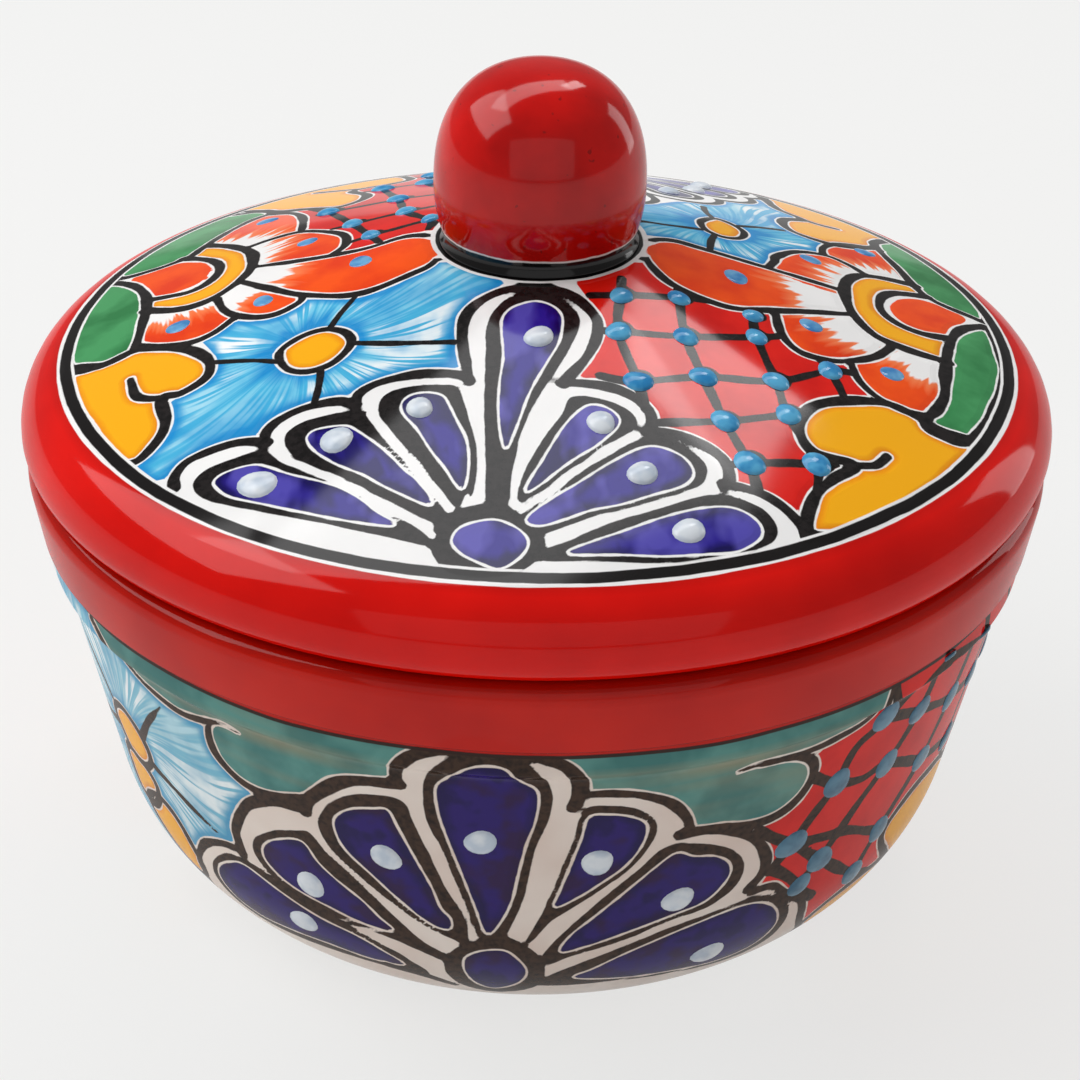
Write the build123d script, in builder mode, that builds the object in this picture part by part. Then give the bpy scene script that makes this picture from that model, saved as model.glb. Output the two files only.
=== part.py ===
"""A round tortilla warmer in hand-painted earthenware: a deep bowl, a domed lid and the lid's knob.

The bowl stands on a low foot ring on the plane z = 0, with its axis along Z. The lid rests on the
bowl's lip and is kept in place by a flange that hangs inside the mouth. The knob is a piece of its
own, luted to a flat seat on top of the lid. Nothing is hinged: the lid lifts straight off.
The front, where a fan is painted on the bowl and on the lid, faces -Y. All sizes are in millimetres.
"""

import os

from build123d import *

# Lid
rim_diameter = 253.6
rim_width = 9.4
rim_height = 19.3
rim_roll = 5.5
crown_rise = 28.0
crown_radius = 1600.0
lid_wall = 7.0
flange_clearance = 1.5
flange_depth = 9.0
flange_wall = 5.0
flange_draft = 0.8
flange_tip_round = 1.8

# Bowl: outside
bowl_height = 118.0
seat_gap = 0.3
rim_overhang = 0.7
lip_width = 8.1
lip_height = 4.5
lip_round = 3.7
lip_inner_round = 2.6
band_depth = 17.4
band_taper = 2.0
band_step = 1.5
collar_depth = 7.0
collar_bevel = 2.4
collar_bevel_height = 2.6
belly_draw = 16.4
belly_height = 38.0
foot_draw = 46.9
foot_land = 7.0
foot_recess = 3.0

# Bowl: inside
mouth_depth = 14.0
bowl_wall = 7.0
bowl_floor = 8.0
floor_inset = 4.2

# Knob
knob_foot_diameter = 48.6
knob_foot_edge = 0.4
knob_seat_margin = 3.7
knob_neck_inset = 0.8
knob_cove_height = 3.1
knob_bulge = 2.0
knob_neck_height = 11.4
knob_height = 44.0
knob_shoulder_inset = 6.5
knob_shoulder_drop = 7.5

# Heights and radii worked out from the sizes above
rim_radius = rim_diameter / 2
lip_radius = rim_radius - rim_overhang
mouth_radius = lip_radius - lip_width
band_bottom = bowl_height - band_depth
band_bottom_radius = lip_radius - band_taper
collar_radius = band_bottom_radius - band_step
collar_bottom = band_bottom - collar_depth
wall_top_radius = collar_radius - collar_bevel
wall_top = collar_bottom - collar_bevel_height
belly_radius = lip_radius - belly_draw
foot_radius = lip_radius - foot_draw

seat_height = bowl_height + seat_gap
panel_radius = rim_radius - rim_width
panel_height = seat_height + rim_height
knob_foot_radius = knob_foot_diameter / 2
knob_seat_radius = knob_foot_radius + knob_seat_margin
knob_seat_height = panel_height + crown_rise
flange_radius = mouth_radius - flange_clearance
flange_inner_radius = flange_radius - flange_wall


def make_bowl():
    """The bowl: one wall turned about its axis, with a proud band at the lip and a trimmed foot."""
    with BuildPart() as bowl:
        with BuildSketch(Plane.XZ) as section:
            with BuildLine():
                wall = Line((wall_top_radius, wall_top), (belly_radius, belly_height))
                belly = TangentArc(wall @ 1, (foot_radius, 0), tangent=wall % 1)
                Polyline(
                    (0, foot_recess),
                    (foot_radius - foot_land - foot_recess, foot_recess),
                    (foot_radius - foot_land, 0),
                    belly @ 1,
                )
                Polyline(
                    wall @ 0,
                    (collar_radius, collar_bottom),
                    (collar_radius, band_bottom),
                    (band_bottom_radius, band_bottom),
                    (lip_radius, bowl_height - lip_height),
                    (lip_radius, bowl_height),
                    (mouth_radius, bowl_height),
                    (mouth_radius, bowl_height - mouth_depth),
                    (wall_top_radius - bowl_wall, wall_top),
                )
                inner = Line(
                    (wall_top_radius - bowl_wall, wall_top),
                    (belly_radius - bowl_wall, belly_height),
                )
                inside_floor = foot_recess + bowl_floor
                floor_edge = (foot_radius - floor_inset, inside_floor)
                TangentArc(inner @ 1, floor_edge, tangent=inner % 1)
                Polyline(floor_edge, (0, inside_floor), (0, foot_recess))
            make_face()
            fillet(section.vertices().group_by(Axis.Y)[-1].sort_by(Axis.X)[-1], lip_round)
            fillet(section.vertices().group_by(Axis.Y)[-1].sort_by(Axis.X)[0], lip_inner_round)
        revolve(axis=Axis.Z)
    bowl.part.label = "bowl"
    return bowl.part


def make_lid():
    """The lid: a low dome with a rolled rim, a flat seat for the knob and a flange inside the mouth."""
    with BuildPart() as lid:
        with BuildSketch(Plane.XZ):
            with BuildLine():
                crown = RadiusArc(
                    (knob_seat_radius, knob_seat_height),
                    (panel_radius, panel_height),
                    crown_radius,
                )
                seat = Line((0, knob_seat_height), crown @ 0)
                rim = TangentArc(
                    crown @ 1, (rim_radius, seat_height + rim_roll), tangent=crown % 1
                )
                roll = TangentArc(
                    rim @ 1, (rim_radius - rim_roll, seat_height), tangent=(0, -1)
                )
                tip = seat_height - flange_depth
                under_edge = (flange_inner_radius, panel_height - lid_wall)
                under_seat = (knob_seat_radius, knob_seat_height - lid_wall)
                Polyline(
                    roll @ 1,
                    (flange_radius, seat_height),
                    (flange_radius - flange_draft, tip),
                    (flange_inner_radius + flange_draft, tip),
                    (flange_inner_radius, seat_height),
                    under_edge,
                )
                RadiusArc(under_edge, under_seat, -crown_radius)
                Polyline(under_seat, (0, knob_seat_height - lid_wall), seat @ 0)
            make_face()
        revolve(axis=Axis.Z)
        tip_edges = lid.edges().filter_by(GeomType.CIRCLE).group_by(Axis.Z)[0]
        fillet(tip_edges, flange_tip_round)
    lid.part.label = "lid"
    return lid.part


def make_knob():
    """The knob: a tall rounded ball drawn in to a neck, with a coved foot where it is luted on."""
    neck_radius = knob_foot_radius - knob_neck_inset
    ball_radius = neck_radius + knob_bulge
    neck = knob_seat_height + knob_cove_height
    equator = neck + knob_neck_height
    top = knob_seat_height + knob_height
    with BuildPart() as knob:
        with BuildSketch(Plane.XZ):
            with BuildLine():
                foot = Polyline(
                    (0, knob_seat_height),
                    (knob_foot_radius, knob_seat_height),
                    (knob_foot_radius, knob_seat_height + knob_foot_edge),
                )
                cove = TangentArc((neck_radius, neck), foot @ 1, tangent=(0, -1))
                waist = TangentArc((ball_radius, equator), cove @ 0, tangent=(0, -1))
                crown = Spline(
                    waist @ 0,
                    (ball_radius - knob_shoulder_inset, top - knob_shoulder_drop),
                    (0, top),
                    tangents=((0, 1), (-1, 0)),
                )
                Line(crown @ 1, foot @ 0)
            make_face()
        revolve(axis=Axis.Z)
    knob.part.label = "knob"
    return knob.part


os.makedirs("parts", exist_ok=True)
for piece in (make_bowl(), make_lid(), make_knob()):
    export_step(piece, f"parts/{piece.label}.step")
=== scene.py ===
"""The looks of a round tortilla warmer: a deep earthenware bowl and its loose domed lid with a ball knob.

Both are painted freehand on a white ground, glazed, and dotted with thick enamel. The paint is worked
out here stroke by stroke in millimetres on the clay's own surface: every vertex knows how far it is
from the edge of each colour, and the glaze materials turn those distances into paint.
"""

import bpy
import numpy as np
from mathutils import Matrix


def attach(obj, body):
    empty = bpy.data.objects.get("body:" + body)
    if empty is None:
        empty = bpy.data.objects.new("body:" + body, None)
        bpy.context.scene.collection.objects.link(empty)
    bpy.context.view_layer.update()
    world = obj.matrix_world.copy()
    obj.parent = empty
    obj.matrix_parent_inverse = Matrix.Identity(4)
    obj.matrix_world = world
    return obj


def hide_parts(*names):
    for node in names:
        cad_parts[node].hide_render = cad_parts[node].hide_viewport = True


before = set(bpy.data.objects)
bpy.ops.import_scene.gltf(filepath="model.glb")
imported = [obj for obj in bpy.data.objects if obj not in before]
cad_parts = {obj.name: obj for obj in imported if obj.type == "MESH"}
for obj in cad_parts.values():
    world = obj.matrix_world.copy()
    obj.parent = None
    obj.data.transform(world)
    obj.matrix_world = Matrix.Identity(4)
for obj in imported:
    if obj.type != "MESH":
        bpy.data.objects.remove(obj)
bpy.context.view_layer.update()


# Bowl
# A deep bowl thrown in earthenware, with a proud red band at the lip and a trimmed foot ring.
# The wall is painted with ink outlines and colours under one clear glaze; the foot is left bare.


def arc(start, heading, end, steps):
    """Points on the circle that leaves start along heading and passes end: start + R(sin t, 1 - cos t)."""
    start, heading, end = (np.asarray(p, float) for p in (start, heading, end))
    heading = heading / np.hypot(*heading)
    chord = end - start
    across = np.array([-heading[1], heading[0]])
    turn = np.arctan2(chord @ across, chord @ heading)
    radius = np.hypot(*chord) / (2 * np.sin(turn))
    t = np.linspace(0, 2 * turn, steps)[:, None]
    return start + radius * (np.sin(t) * heading + (1 - np.cos(t)) * across)


def eased(corners, radii, steps=4):
    """A line through corners whose inner corners are cut by arcs of the given radii."""
    corners = np.asarray(corners, float)
    line = [corners[:1]]
    for before, corner, after, radius in zip(corners, corners[1:], corners[2:], radii):
        back = (before - corner) / np.hypot(*(before - corner))
        on = (after - corner) / np.hypot(*(after - corner))
        half = np.arccos(np.clip(back @ on, -1, 1)) / 2
        reach = radius / np.tan(half)
        line.append(arc(corner + back * reach, -back, corner + on * reach, steps))
    line.append(corners[-1:])
    return np.vstack(line)


def evenly(start, end, steps):
    """Points on the straight line from start to end, both included."""
    share = np.linspace(0, 1, steps)[:, None]
    return np.asarray(start, float) * (1 - share) + np.asarray(end, float) * share


def joined(*lines):
    """Lines put end to end, with points that fall together taken once."""
    line = np.vstack(lines)
    gaps = np.hypot(*np.diff(line, axis=0).T)
    return line[np.r_[True, gaps > 1e-6]]


def built(name, points, faces):
    """An object with a smooth mesh, from points in millimetres."""
    mesh = bpy.data.meshes.new(name)
    mesh.from_pydata((points / 1000).tolist(), [], faces)
    mesh.shade_smooth()
    piece = bpy.data.objects.new(name, mesh)
    bpy.context.scene.collection.objects.link(piece)
    return piece


def turned(name, profile, columns):
    """A surface of revolution: the point at radius r, height z and angle a is (r sin a, -r cos a, z).

    The profile runs from the axis underneath, up the outside and back to the axis, in millimetres.
    Returns the object and, for every vertex, its x, y and z, its angle from the front and the ring
    that it is on, counted from underneath. A pole counts with the ring beside it.
    """
    rings = profile[1:-1]
    angle = np.linspace(-np.pi, np.pi, columns, endpoint=False)
    r, a = np.meshgrid(rings[:, 0], angle, indexing="ij")
    z = np.repeat(rings[:, 1:], columns, axis=1)
    points = np.stack([r * np.sin(a), -r * np.cos(a), z], -1).reshape(-1, 3)
    points = np.vstack([points, [0, 0, profile[0, 1]], [0, 0, profile[-1, 1]]])
    here = np.arange(r.size).reshape(r.shape)
    beside = np.roll(here, -1, axis=1)
    quads = np.stack([here[:-1], beside[:-1], beside[1:], here[1:]], -1).reshape(-1, 4)
    below = np.stack([np.full(columns, r.size), beside[0], here[0]], -1)
    above = np.stack([np.full(columns, r.size + 1), here[-1], beside[-1]], -1)
    piece = built(name, points, quads.tolist() + below.tolist() + above.tolist())
    ring = np.repeat(np.arange(len(rings)), columns)
    return piece, points, np.r_[a.ravel(), 0, 0], np.r_[ring, 0, len(rings) - 1]


def keep(piece, name, values):
    """Puts one number, or one vector, on every vertex of a piece under a name that a glaze can read."""
    values = np.asarray(values, np.float32)
    kind, field = ("FLOAT", "value") if values.ndim == 1 else ("FLOAT_VECTOR", "vector")
    piece.data.attributes.new(name, kind, "POINT").data.foreach_set(field, values.ravel())


def freehand(points, closed=False, steps=8):
    """A smooth line through the points: on each span the Catmull-Rom cubic of its four neighbours."""
    p = np.asarray(points, float)
    p = np.vstack([p[-1:], p, p[:2]]) if closed else np.vstack([p[:1], p, p[-1:]])
    t = np.linspace(0, 1, steps, endpoint=False)[:, None]
    weights = np.hstack([-t + 2 * t**2 - t**3, 2 - 5 * t**2 + 3 * t**3,
                         t + 4 * t**2 - 3 * t**3, t**3 - t**2]) / 2
    spans = np.stack([p[:-3], p[1:-2], p[2:-1], p[3:]], 1)
    line = np.einsum("tk,skc->stc", weights, spans).reshape(-1, 2)
    return np.vstack([line, p[-2:-1]])


class Sheet:
    """The painted surface laid flat, in millimetres: for each paint, how far inside its edge a point is.

    Distances are kept only near an edge, out to the reach; beyond it they stay at plus or minus that.
    """

    reach = 5.0

    def __init__(self, flat, unit=(1, 1), period=None):
        """flat holds the points, and unit the length of 1 in a drawing, across and up. Where the sheet
        goes round a wall, period is the length of one turn, and each drawing is made again half a turn
        away.
        """
        self.flat = flat
        self.unit = unit
        self.shifts = [0] if period is None else [-period, -period / 2, 0, period / 2, period]
        self.paints = {}

    def paint(self, name):
        """The distances of one paint, which starts with nothing painted."""
        if name not in self.paints:
            self.paints[name] = np.full(len(self.flat), -self.reach)
        return self.paints[name]

    def near(self, line):
        """Which points lie within the reach of a line's box."""
        low, high = line.min(0) - self.reach, line.max(0) + self.reach
        return np.flatnonzero(np.all((self.flat > low) & (self.flat < high), axis=1))

    def away(self, line, among):
        """The distance from points to a line, and where along the line the nearest place is."""
        best = np.full(len(among), np.inf)
        place = np.zeros(len(among))
        travelled = np.r_[0, np.cumsum(np.hypot(*np.diff(line, axis=0).T))]
        for i in range(0, len(line) - 1, 6):
            part = line[i : i + 7]
            low, high = part.min(0) - self.reach, part.max(0) + self.reach
            at = self.flat[among]
            close = np.flatnonzero(np.all((at > low) & (at < high), axis=1))
            start, step = part[:-1], np.diff(part, axis=0)
            offset = at[close, None] - start
            share = (offset * step).sum(-1) / np.maximum((step**2).sum(-1), 1e-12)
            share = np.clip(share, 0, 1)
            gap = np.hypot(*np.moveaxis(offset - share[..., None] * step, -1, 0))
            which = gap.argmin(1)
            each = np.arange(len(close))
            gap = gap[each, which]
            lengths = np.hypot(*step.T)
            along = travelled[i : i + len(step)][which] + (share * lengths)[each, which]
            nearer = gap < best[close]
            best[close[nearer]] = gap[nearer]
            place[close[nearer]] = along[nearer]
        return best, place

    def stroke(self, name, points, width, closed=False, taper=(1.0, 1.0)):
        """A brush stroke: half its width less the distance to its middle line, uneven as by hand.

        taper is the share of the width that is left at its start and at its end.
        """
        for shift in self.shifts:
            line = freehand(np.asarray(points, float) * self.unit + [shift, 0], closed)
            among = self.near(line)
            gap, place = self.away(line, among)
            total = np.hypot(*np.diff(line, axis=0).T).sum()
            hand = 1 + 0.1 * np.sin(place / 5.1 + line[0, 0]) + 0.08 * np.sin(place / 2.3 + line[0, 1])
            hand *= np.interp(place / total, [0, 0.4, 0.6, 1], [taper[0], 1, 1, taper[1]])
            field = self.paint(name)
            field[among] = np.maximum(field[among], width / 2 * hand - gap)

    def patch(self, name, points, smooth=True):
        """A filled shape: the distance to its outline, counted as more than nothing inside it."""
        for shift in self.shifts:
            line = np.asarray(points, float) * self.unit + [shift, 0]
            line = freehand(line, True) if smooth else np.vstack([line, line[:1]])
            among = self.near(line)
            gap, _ = self.away(line, among)
            x, y = self.flat[among].T
            inside = np.zeros(len(among), bool)
            for (ax, ay), (bx, by) in zip(line[:-1], line[1:]):
                if ay != by:
                    crosses = (ay > y) != (by > y)
                    inside ^= crosses & (x < ax + (y - ay) * (bx - ax) / (by - ay))
            field = self.paint(name)
            signed = np.minimum(gap, self.reach) * np.where(inside, 1, -1)
            field[among] = np.maximum(field[among], signed)

    def petals(self, name, petals, grow=0.0):
        """Filled petals, each given by the place and radius of its head, then of its tip.

        A petal is the hull of the two circles: a radius that changes evenly along the line between
        them, less the distance to that line.
        """
        field = self.paint(name)
        for shift in self.shifts:
            for hx, hy, head, tx, ty, tip in petals:
                step = np.array([tx - hx, ty - hy])
                offset = self.flat - [hx + shift, hy]
                share = np.clip(offset @ step / (step @ step), 0, 1)
                gap = np.hypot(*(offset - share[:, None] * step).T)
                np.maximum(field, head + grow + (tip - head) * share - gap, out=field)

    def band(self, name, outer, inner, margin):
        """Paints what lies within the edge of one paint and, by a margin, outside that of another."""
        field = self.paint(name)
        np.maximum(field, np.minimum(self.paint(outer), -self.paint(inner) - margin), out=field)

    def join(self, name, other, width):
        """Lays one paint beside another, fills the gap between them where it is narrower than the
        width, and forgets the other paint.
        """
        field, beside = self.paint(name), self.paint(other)
        narrow = (field + beside + width) / 2
        np.maximum(field, np.maximum(beside, narrow), out=field)
        self.drop(other)

    def around(self, name, shape, width):
        """Carries one paint past the edge of another by a width."""
        field = self.paint(name)
        np.maximum(field, self.paint(shape) + width, out=field)

    def contour(self, name, shape, width):
        """Paints a line along the edge of another paint."""
        field = self.paint(name)
        np.maximum(field, width / 2 - np.abs(self.paint(shape)), out=field)

    def fan(self, petals, hub, eye, least):
        """A fan in two paints: fan_ink, out to the outer edge of its lines, and cobalt inside them.

        Each petal is given by those two edges. They grow from a hub with an eye of cobalt. The ink
        fills the narrow gaps between them, and goes at least so far past the cobalt of each petal.
        """
        narrow = 0.8
        for ink_edge, cobalt_edge in petals:
            self.patch("petal", ink_edge)
            self.join("fan_ink", "petal", narrow)
            self.patch("cobalt", cobalt_edge)
        self.patch("hub", hub)
        self.join("fan_ink", "hub", narrow)
        self.around("fan_ink", "cobalt", least)
        self.patch("cobalt", eye)

    def outlined(self, name, points, width, smooth=True):
        """A filled shape with a line of ink round it."""
        self.patch(name, points, smooth)
        self.stroke("ink", points, width, closed=True)

    def drop(self, *names):
        """Forgets paints that only helped to lay out others."""
        for name in names:
            del self.paints[name]

    def without(self, name, other, margin=0.0):
        """Takes one paint away where another lies, with a margin."""
        field = self.paint(name)
        np.minimum(field, -self.paint(other) - margin, out=field)

    def only_on(self, name, grounds, margin):
        """Keeps one paint to where two others lie, with a margin."""
        field = self.paint(name)
        first, second = grounds
        np.minimum(field, np.maximum(self.paint(first), self.paint(second)) + margin, out=field)

    def give(self, piece):
        """Puts every paint's distances on the piece's vertices."""
        for name, field in self.paints.items():
            keep(piece, name, np.clip(field, -self.reach, self.reach))


# The glaze stands this many metres high where the paint is thickest, and this many millimetres of
# the ground stay bare between an outline's ink and the colour inside it
paint_relief = 0.00035
bare_line = 0.65

# The bowl's radii and heights in millimetres, from its axis and from the table
lip_radius = 126.1
band_bottom_radius = 124.1
collar_radius = 122.6
collar_bottom = 93.6
collar_top = 100.6
wall_top = np.array([120.2, 91.0])
bevel_end = (121.9, 92.84)
belly = np.array([109.7, 38.0])
foot_radius = 79.2
foot_recess = 3.0
inside_floor = 11.0
mouth_radius = 118.0
mouth_bottom = 104.0
bowl_wall = np.array([7.0, 0])
bowl_height = 118.0
bowl_section = joined(
    [(0, foot_recess)],
    eased([(60, foot_recess), (69.2, foot_recess), (72.2, 0), (78.6, 0), (79.4, 0.5)], [0.6, 0.6, 0.4], 3),
    arc(belly, belly - wall_top, (foot_radius, 0), 38)[::-1][1:],
    evenly(belly, wall_top, 48),
    evenly(wall_top, bevel_end, 3),
    eased([bevel_end, (collar_radius, collar_bottom), (collar_radius, collar_bottom + 1)], [0.7], 3),
    evenly((collar_radius, collar_bottom + 1), (collar_radius, collar_top - 0.7), 6),
    eased(
        [(collar_radius, collar_top - 0.7), (collar_radius, collar_top), (band_bottom_radius, 100.7),
         (lip_radius, 113.5), (lip_radius, bowl_height), (mouth_radius, bowl_height),
         (mouth_radius, mouth_bottom), wall_top - bowl_wall],
        [0.3, 0.35, 6.0, 3.6, 2.6, 3.0],
        5,
    )[1:],
    evenly(wall_top - bowl_wall, belly - bowl_wall, 3),
    arc(belly - bowl_wall, belly - wall_top, (75.0, inside_floor), 9),
    [(30.0, inside_floor), (0, inside_floor)],
)
bowl, bowl_points, bowl_angle, bowl_ring = turned("painted_bowl", bowl_section, 700)

# The wall is painted as a strip, drawn in degrees from the front and millimetres of height
wall_radius = 112
degree = wall_radius * np.pi / 180
flat_wall = np.stack([bowl_angle * wall_radius, bowl_points[:, 2]], -1)
wall = Sheet(flat_wall, (degree, 1), 360 * degree)

# The fan: seven petals, each given by the outer edge of its broad ink line and the edge of its cobalt
bowl_fan = [
    ([(-13.4, 22.8), (-15.2, 26.4), (-17.9, 31.3), (-22.1, 35.1), (-27, 38.3), (-32, 41.9), (-36, 44.5),
      (-40.2, 43.6), (-42.8, 39.8), (-44.6, 35), (-45.2, 29.6), (-43.6, 23.2), (-39.5, 19.9), (-33, 20),
      (-25.4, 20.8), (-18, 20.1), (-13.8, 18.6)],
     [(-16.4, 23.7), (-18.8, 28.1), (-22.1, 31.9), (-27, 34.6), (-32, 38.3), (-37.4, 42.2), (-40.4, 40.2),
      (-43, 36), (-43.8, 30.6), (-42.1, 24.9), (-38.5, 22.7), (-33.6, 23.4), (-27, 24.1), (-21, 22.9)]),
    ([(-10.3, 31.6), (-13.3, 36), (-17.9, 46), (-21.1, 53.1), (-24.1, 58.8), (-25.9, 63.9), (-27.9, 62.9),
      (-31, 60.2), (-34.2, 55.2), (-35.3, 50.4), (-34.4, 46), (-32, 42.2), (-28.6, 39.1), (-23, 36.7),
      (-17.2, 34.4), (-13.9, 31.8), (-10.8, 29)],
     [(-16.8, 37.3), (-18.5, 41), (-20.5, 45.5), (-23.8, 50.7), (-25.7, 54.6), (-27.4, 59.7), (-31, 57),
      (-33.2, 53), (-33.5, 48.6), (-31.6, 44.6), (-29, 42.2), (-25.1, 40.2), (-20.5, 37.7)]),
    ([(-7.5, 36), (-7.7, 45.4), (-9.7, 55), (-11.3, 65.3), (-12.9, 75.5), (-13.5, 80.4), (-15, 82),
      (-18.5, 81.1), (-21.4, 77.9), (-23.6, 72.6), (-24.5, 67), (-23.4, 60.6), (-20, 53.4), (-16.5, 47.2),
      (-13, 41.6), (-9.2, 37.6)],
     [(-9.6, 41.3), (-9.5, 44.7), (-10.6, 47.9), (-11.6, 55), (-13.3, 64), (-14.9, 73), (-15.7, 77.4),
      (-17.2, 77), (-20, 75.2), (-22.1, 71), (-22.2, 66), (-21.2, 61.2), (-18.8, 56.1), (-16.2, 50.4),
      (-13.6, 45.2), (-11.3, 41.7)]),
    ([(-6, 39), (-7.4, 49.2), (-8.7, 58.6), (-9.8, 67.3), (-11.3, 76), (-11.5, 84), (-11.1, 89.8),
      (-9.7, 95), (-7.2, 98.7), (-4.6, 99.6), (-1.6, 98.6), (0.8, 94.1), (2, 88.3), (2.2, 84), (1.6, 77),
      (0.4, 68.8), (-0.2, 60.1), (-1, 51.4), (-2.4, 42.7), (-3.4, 39)],
     [(-5.1, 41), (-6.3, 49.9), (-7.6, 60.1), (-8.9, 70.2), (-9.8, 78.9), (-9.9, 86.9), (-8.6, 90.3),
      (-6.8, 94.3), (-4.6, 95.7), (-2.6, 94.9), (-1.3, 90.7), (0.3, 88.2), (0.6, 84), (0.2, 77.5),
      (-0.6, 71.4), (-1.5, 61.5), (-2.3, 52.1), (-3.6, 44.9)]),
    ([(-0.6, 38), (1.3, 47.8), (2.8, 57.9), (4.1, 67.3), (5, 73.8), (5.3, 79.6), (5.8, 82.4), (8, 82.6),
      (11, 81.1), (13.1, 77.6), (13.8, 73.2), (13.2, 68.6), (11.4, 62.6), (8.7, 56.6), (5.6, 51.2),
      (2.4, 45.4), (0.4, 39)],
     [(2.9, 50.6), (3.5, 55.7), (4.6, 64.4), (5.6, 72.4), (6.2, 79.1), (8, 79.6), (10.4, 78.5), (12.3, 75.8),
      (12.5, 72), (11.9, 67.6), (10.4, 62.6), (8.2, 58.4), (5.4, 53.6)]),
    ([(1.5, 33), (2.8, 38.3), (5.8, 46.3), (9.1, 54.3), (12.4, 61.5), (14.6, 66.8), (17, 67.6), (20.4, 65.6),
      (23.4, 62), (25.2, 57.4), (25.6, 52.6), (24.6, 48), (21.6, 44), (16.5, 41.8), (12.4, 38.3), (8, 35.2),
      (5, 33), (2.4, 30)],
     [(3.8, 35), (5, 40.5), (8, 47.1), (11.3, 54.4), (14.3, 60.9), (16.5, 64.5), (18.6, 62.4), (21.2, 61),
      (23.1, 58), (23.7, 54.4), (22.9, 50.2), (20.8, 46.2), (17, 44), (11.7, 40.4), (7.2, 37)]),
    ([(1.8, 22.8), (3.4, 26.4), (7.2, 31.2), (11.7, 35.5), (16.5, 39.2), (22, 41.6), (27.6, 42.9),
      (30.8, 41.2), (33, 38), (34.5, 32.4), (34.7, 26.4), (33.4, 20.4), (30.2, 16.9), (25, 16.8),
      (19, 18.4), (10.9, 19.4), (1.9, 19)],
     [(5.9, 23.4), (8, 26.8), (11.7, 31.9), (16.5, 36.3), (21.3, 39.2), (26, 40.8), (29.4, 39.6),
      (31.8, 35.6), (33, 29.6), (32.2, 24), (30, 20.4), (25.8, 18.9), (19, 20.2), (12, 21.2)]),
]
bowl_hub = [
    (-10.4, 30.6), (-8.6, 35.4), (-5.7, 38.8), (-3, 40.2), (-0.6, 37.4), (1.3, 33), (1.9, 28.6), (1.8, 22.6),
    (0.8, 18.4), (-1.3, 15), (-4.8, 12.4), (-8, 14.8), (-9.9, 18.8), (-10.8, 24.6),
]
bowl_eye = [
    (-7.6, 31.8), (-5.7, 34.3), (-3.1, 34.9), (-1.5, 31.8), (-0.5, 27.5), (-0.8, 23.4), (-2.2, 19.4),
    (-4.9, 16.4), (-7, 19.4), (-8, 24.6), (-8.1, 28.9),
]
wall.fan(bowl_fan, bowl_hub, bowl_eye, 1.9)
wall.band("ink", "fan_ink", "cobalt", bare_line)

# A slit of bare ground parts the first two petals
gap = [(-21.6, 34.8), (-19, 32.9), (-16.3, 30.1), (-13.4, 26.5)]
wall.stroke("gap", gap, 2.5, taper=(0.6, 1.2))
wall.without("ink", "gap")
wall.drop("fan_ink", "gap")
wall.stroke("ink", [(-19, 21.4), (-15, 20.2), (-12.4, 18.2), (-10.2, 15.8)], 2.6)

# The fan's outer line: a scallop over each petal, with its width
bowl_scallops = [
    (2.3, [(-50.4, 14), (-49, 25.5), (-48, 32.6), (-45.4, 40.6), (-42.5, 44.7), (-39.5, 46.8), (-37, 47.2)]),
    (3.1, [(-37.4, 46.6), (-37.6, 50.5), (-37.4, 55), (-34.9, 64), (-32.6, 68), (-29.8, 70.6),
           (-25.8, 70.9)]),
    (3.4, [(-26, 70.4), (-25.4, 74.2), (-23.4, 78.7), (-21.1, 82.9), (-18.5, 85.2), (-14, 86.4)]),
    (3.2, [(-14.2, 86), (-14.2, 90.7), (-13.1, 95), (-11.2, 98), (-8.4, 100), (-5, 100.9), (-1.6, 100),
           (1.9, 97.8), (3.9, 95.2), (4.9, 91), (5, 86.9), (4.4, 82.4)]),
    (2.4, [(5, 86.4), (8.2, 86.3), (11.5, 85), (14.6, 81.8), (16.6, 77.3), (17.5, 73), (17.3, 70.6)]),
    (2.9, [(16.6, 70.7), (20, 70.4), (23.6, 67.6), (26.2, 63.4), (27.8, 58.8), (28.6, 54), (28.3, 50),
           (26.8, 46.4)]),
    (2.6, [(27.6, 45), (30.6, 44.6), (33, 39.6), (35.8, 35.8), (37, 31), (38, 25.3), (40, 18.8), (43, 12.6)]),
]
for width, scallop in bowl_scallops:
    wall.stroke("scallops", scallop, width)
wall.join("ink", "scallops", 0.8)
fan_edge = np.vstack([scallop for width, scallop in bowl_scallops] + [[(43, 4), (-50, 4)]])
wall.patch("fan", fan_edge, smooth=False)

# The garland: teal scallops hung under the band, which end in a curl on each side of the fan
wall.patch("teal", [
    (-66, 102), (-66, 98.6), (-57, 97.4), (-53, 92.5), (-49.5, 88.8), (-46, 86.9), (-42.5, 86),
    (-39.5, 86.9), (-37.6, 88), (-37.8, 82), (-37.4, 78.1), (-36, 75), (-34.2, 72.7), (-32, 71.9),
    (-29.3, 72.9), (-26, 74.6), (-20, 84), (-14, 86), (-12, 94), (-6, 99), (0, 99), (4, 94), (5, 86),
    (12, 83), (17, 76), (18, 71.6), (21.3, 70.9), (23.9, 69), (26.9, 68.6), (29.5, 69.8), (31.2, 73.1),
    (32.2, 77.5), (32.3, 81.1), (31.4, 85), (31.5, 87.3), (35, 88.4), (38.5, 89.9), (40.3, 93),
    (41.3, 98.5), (41.4, 102),
], smooth=False)
wall.without("teal", "fan", -1.0)
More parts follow.
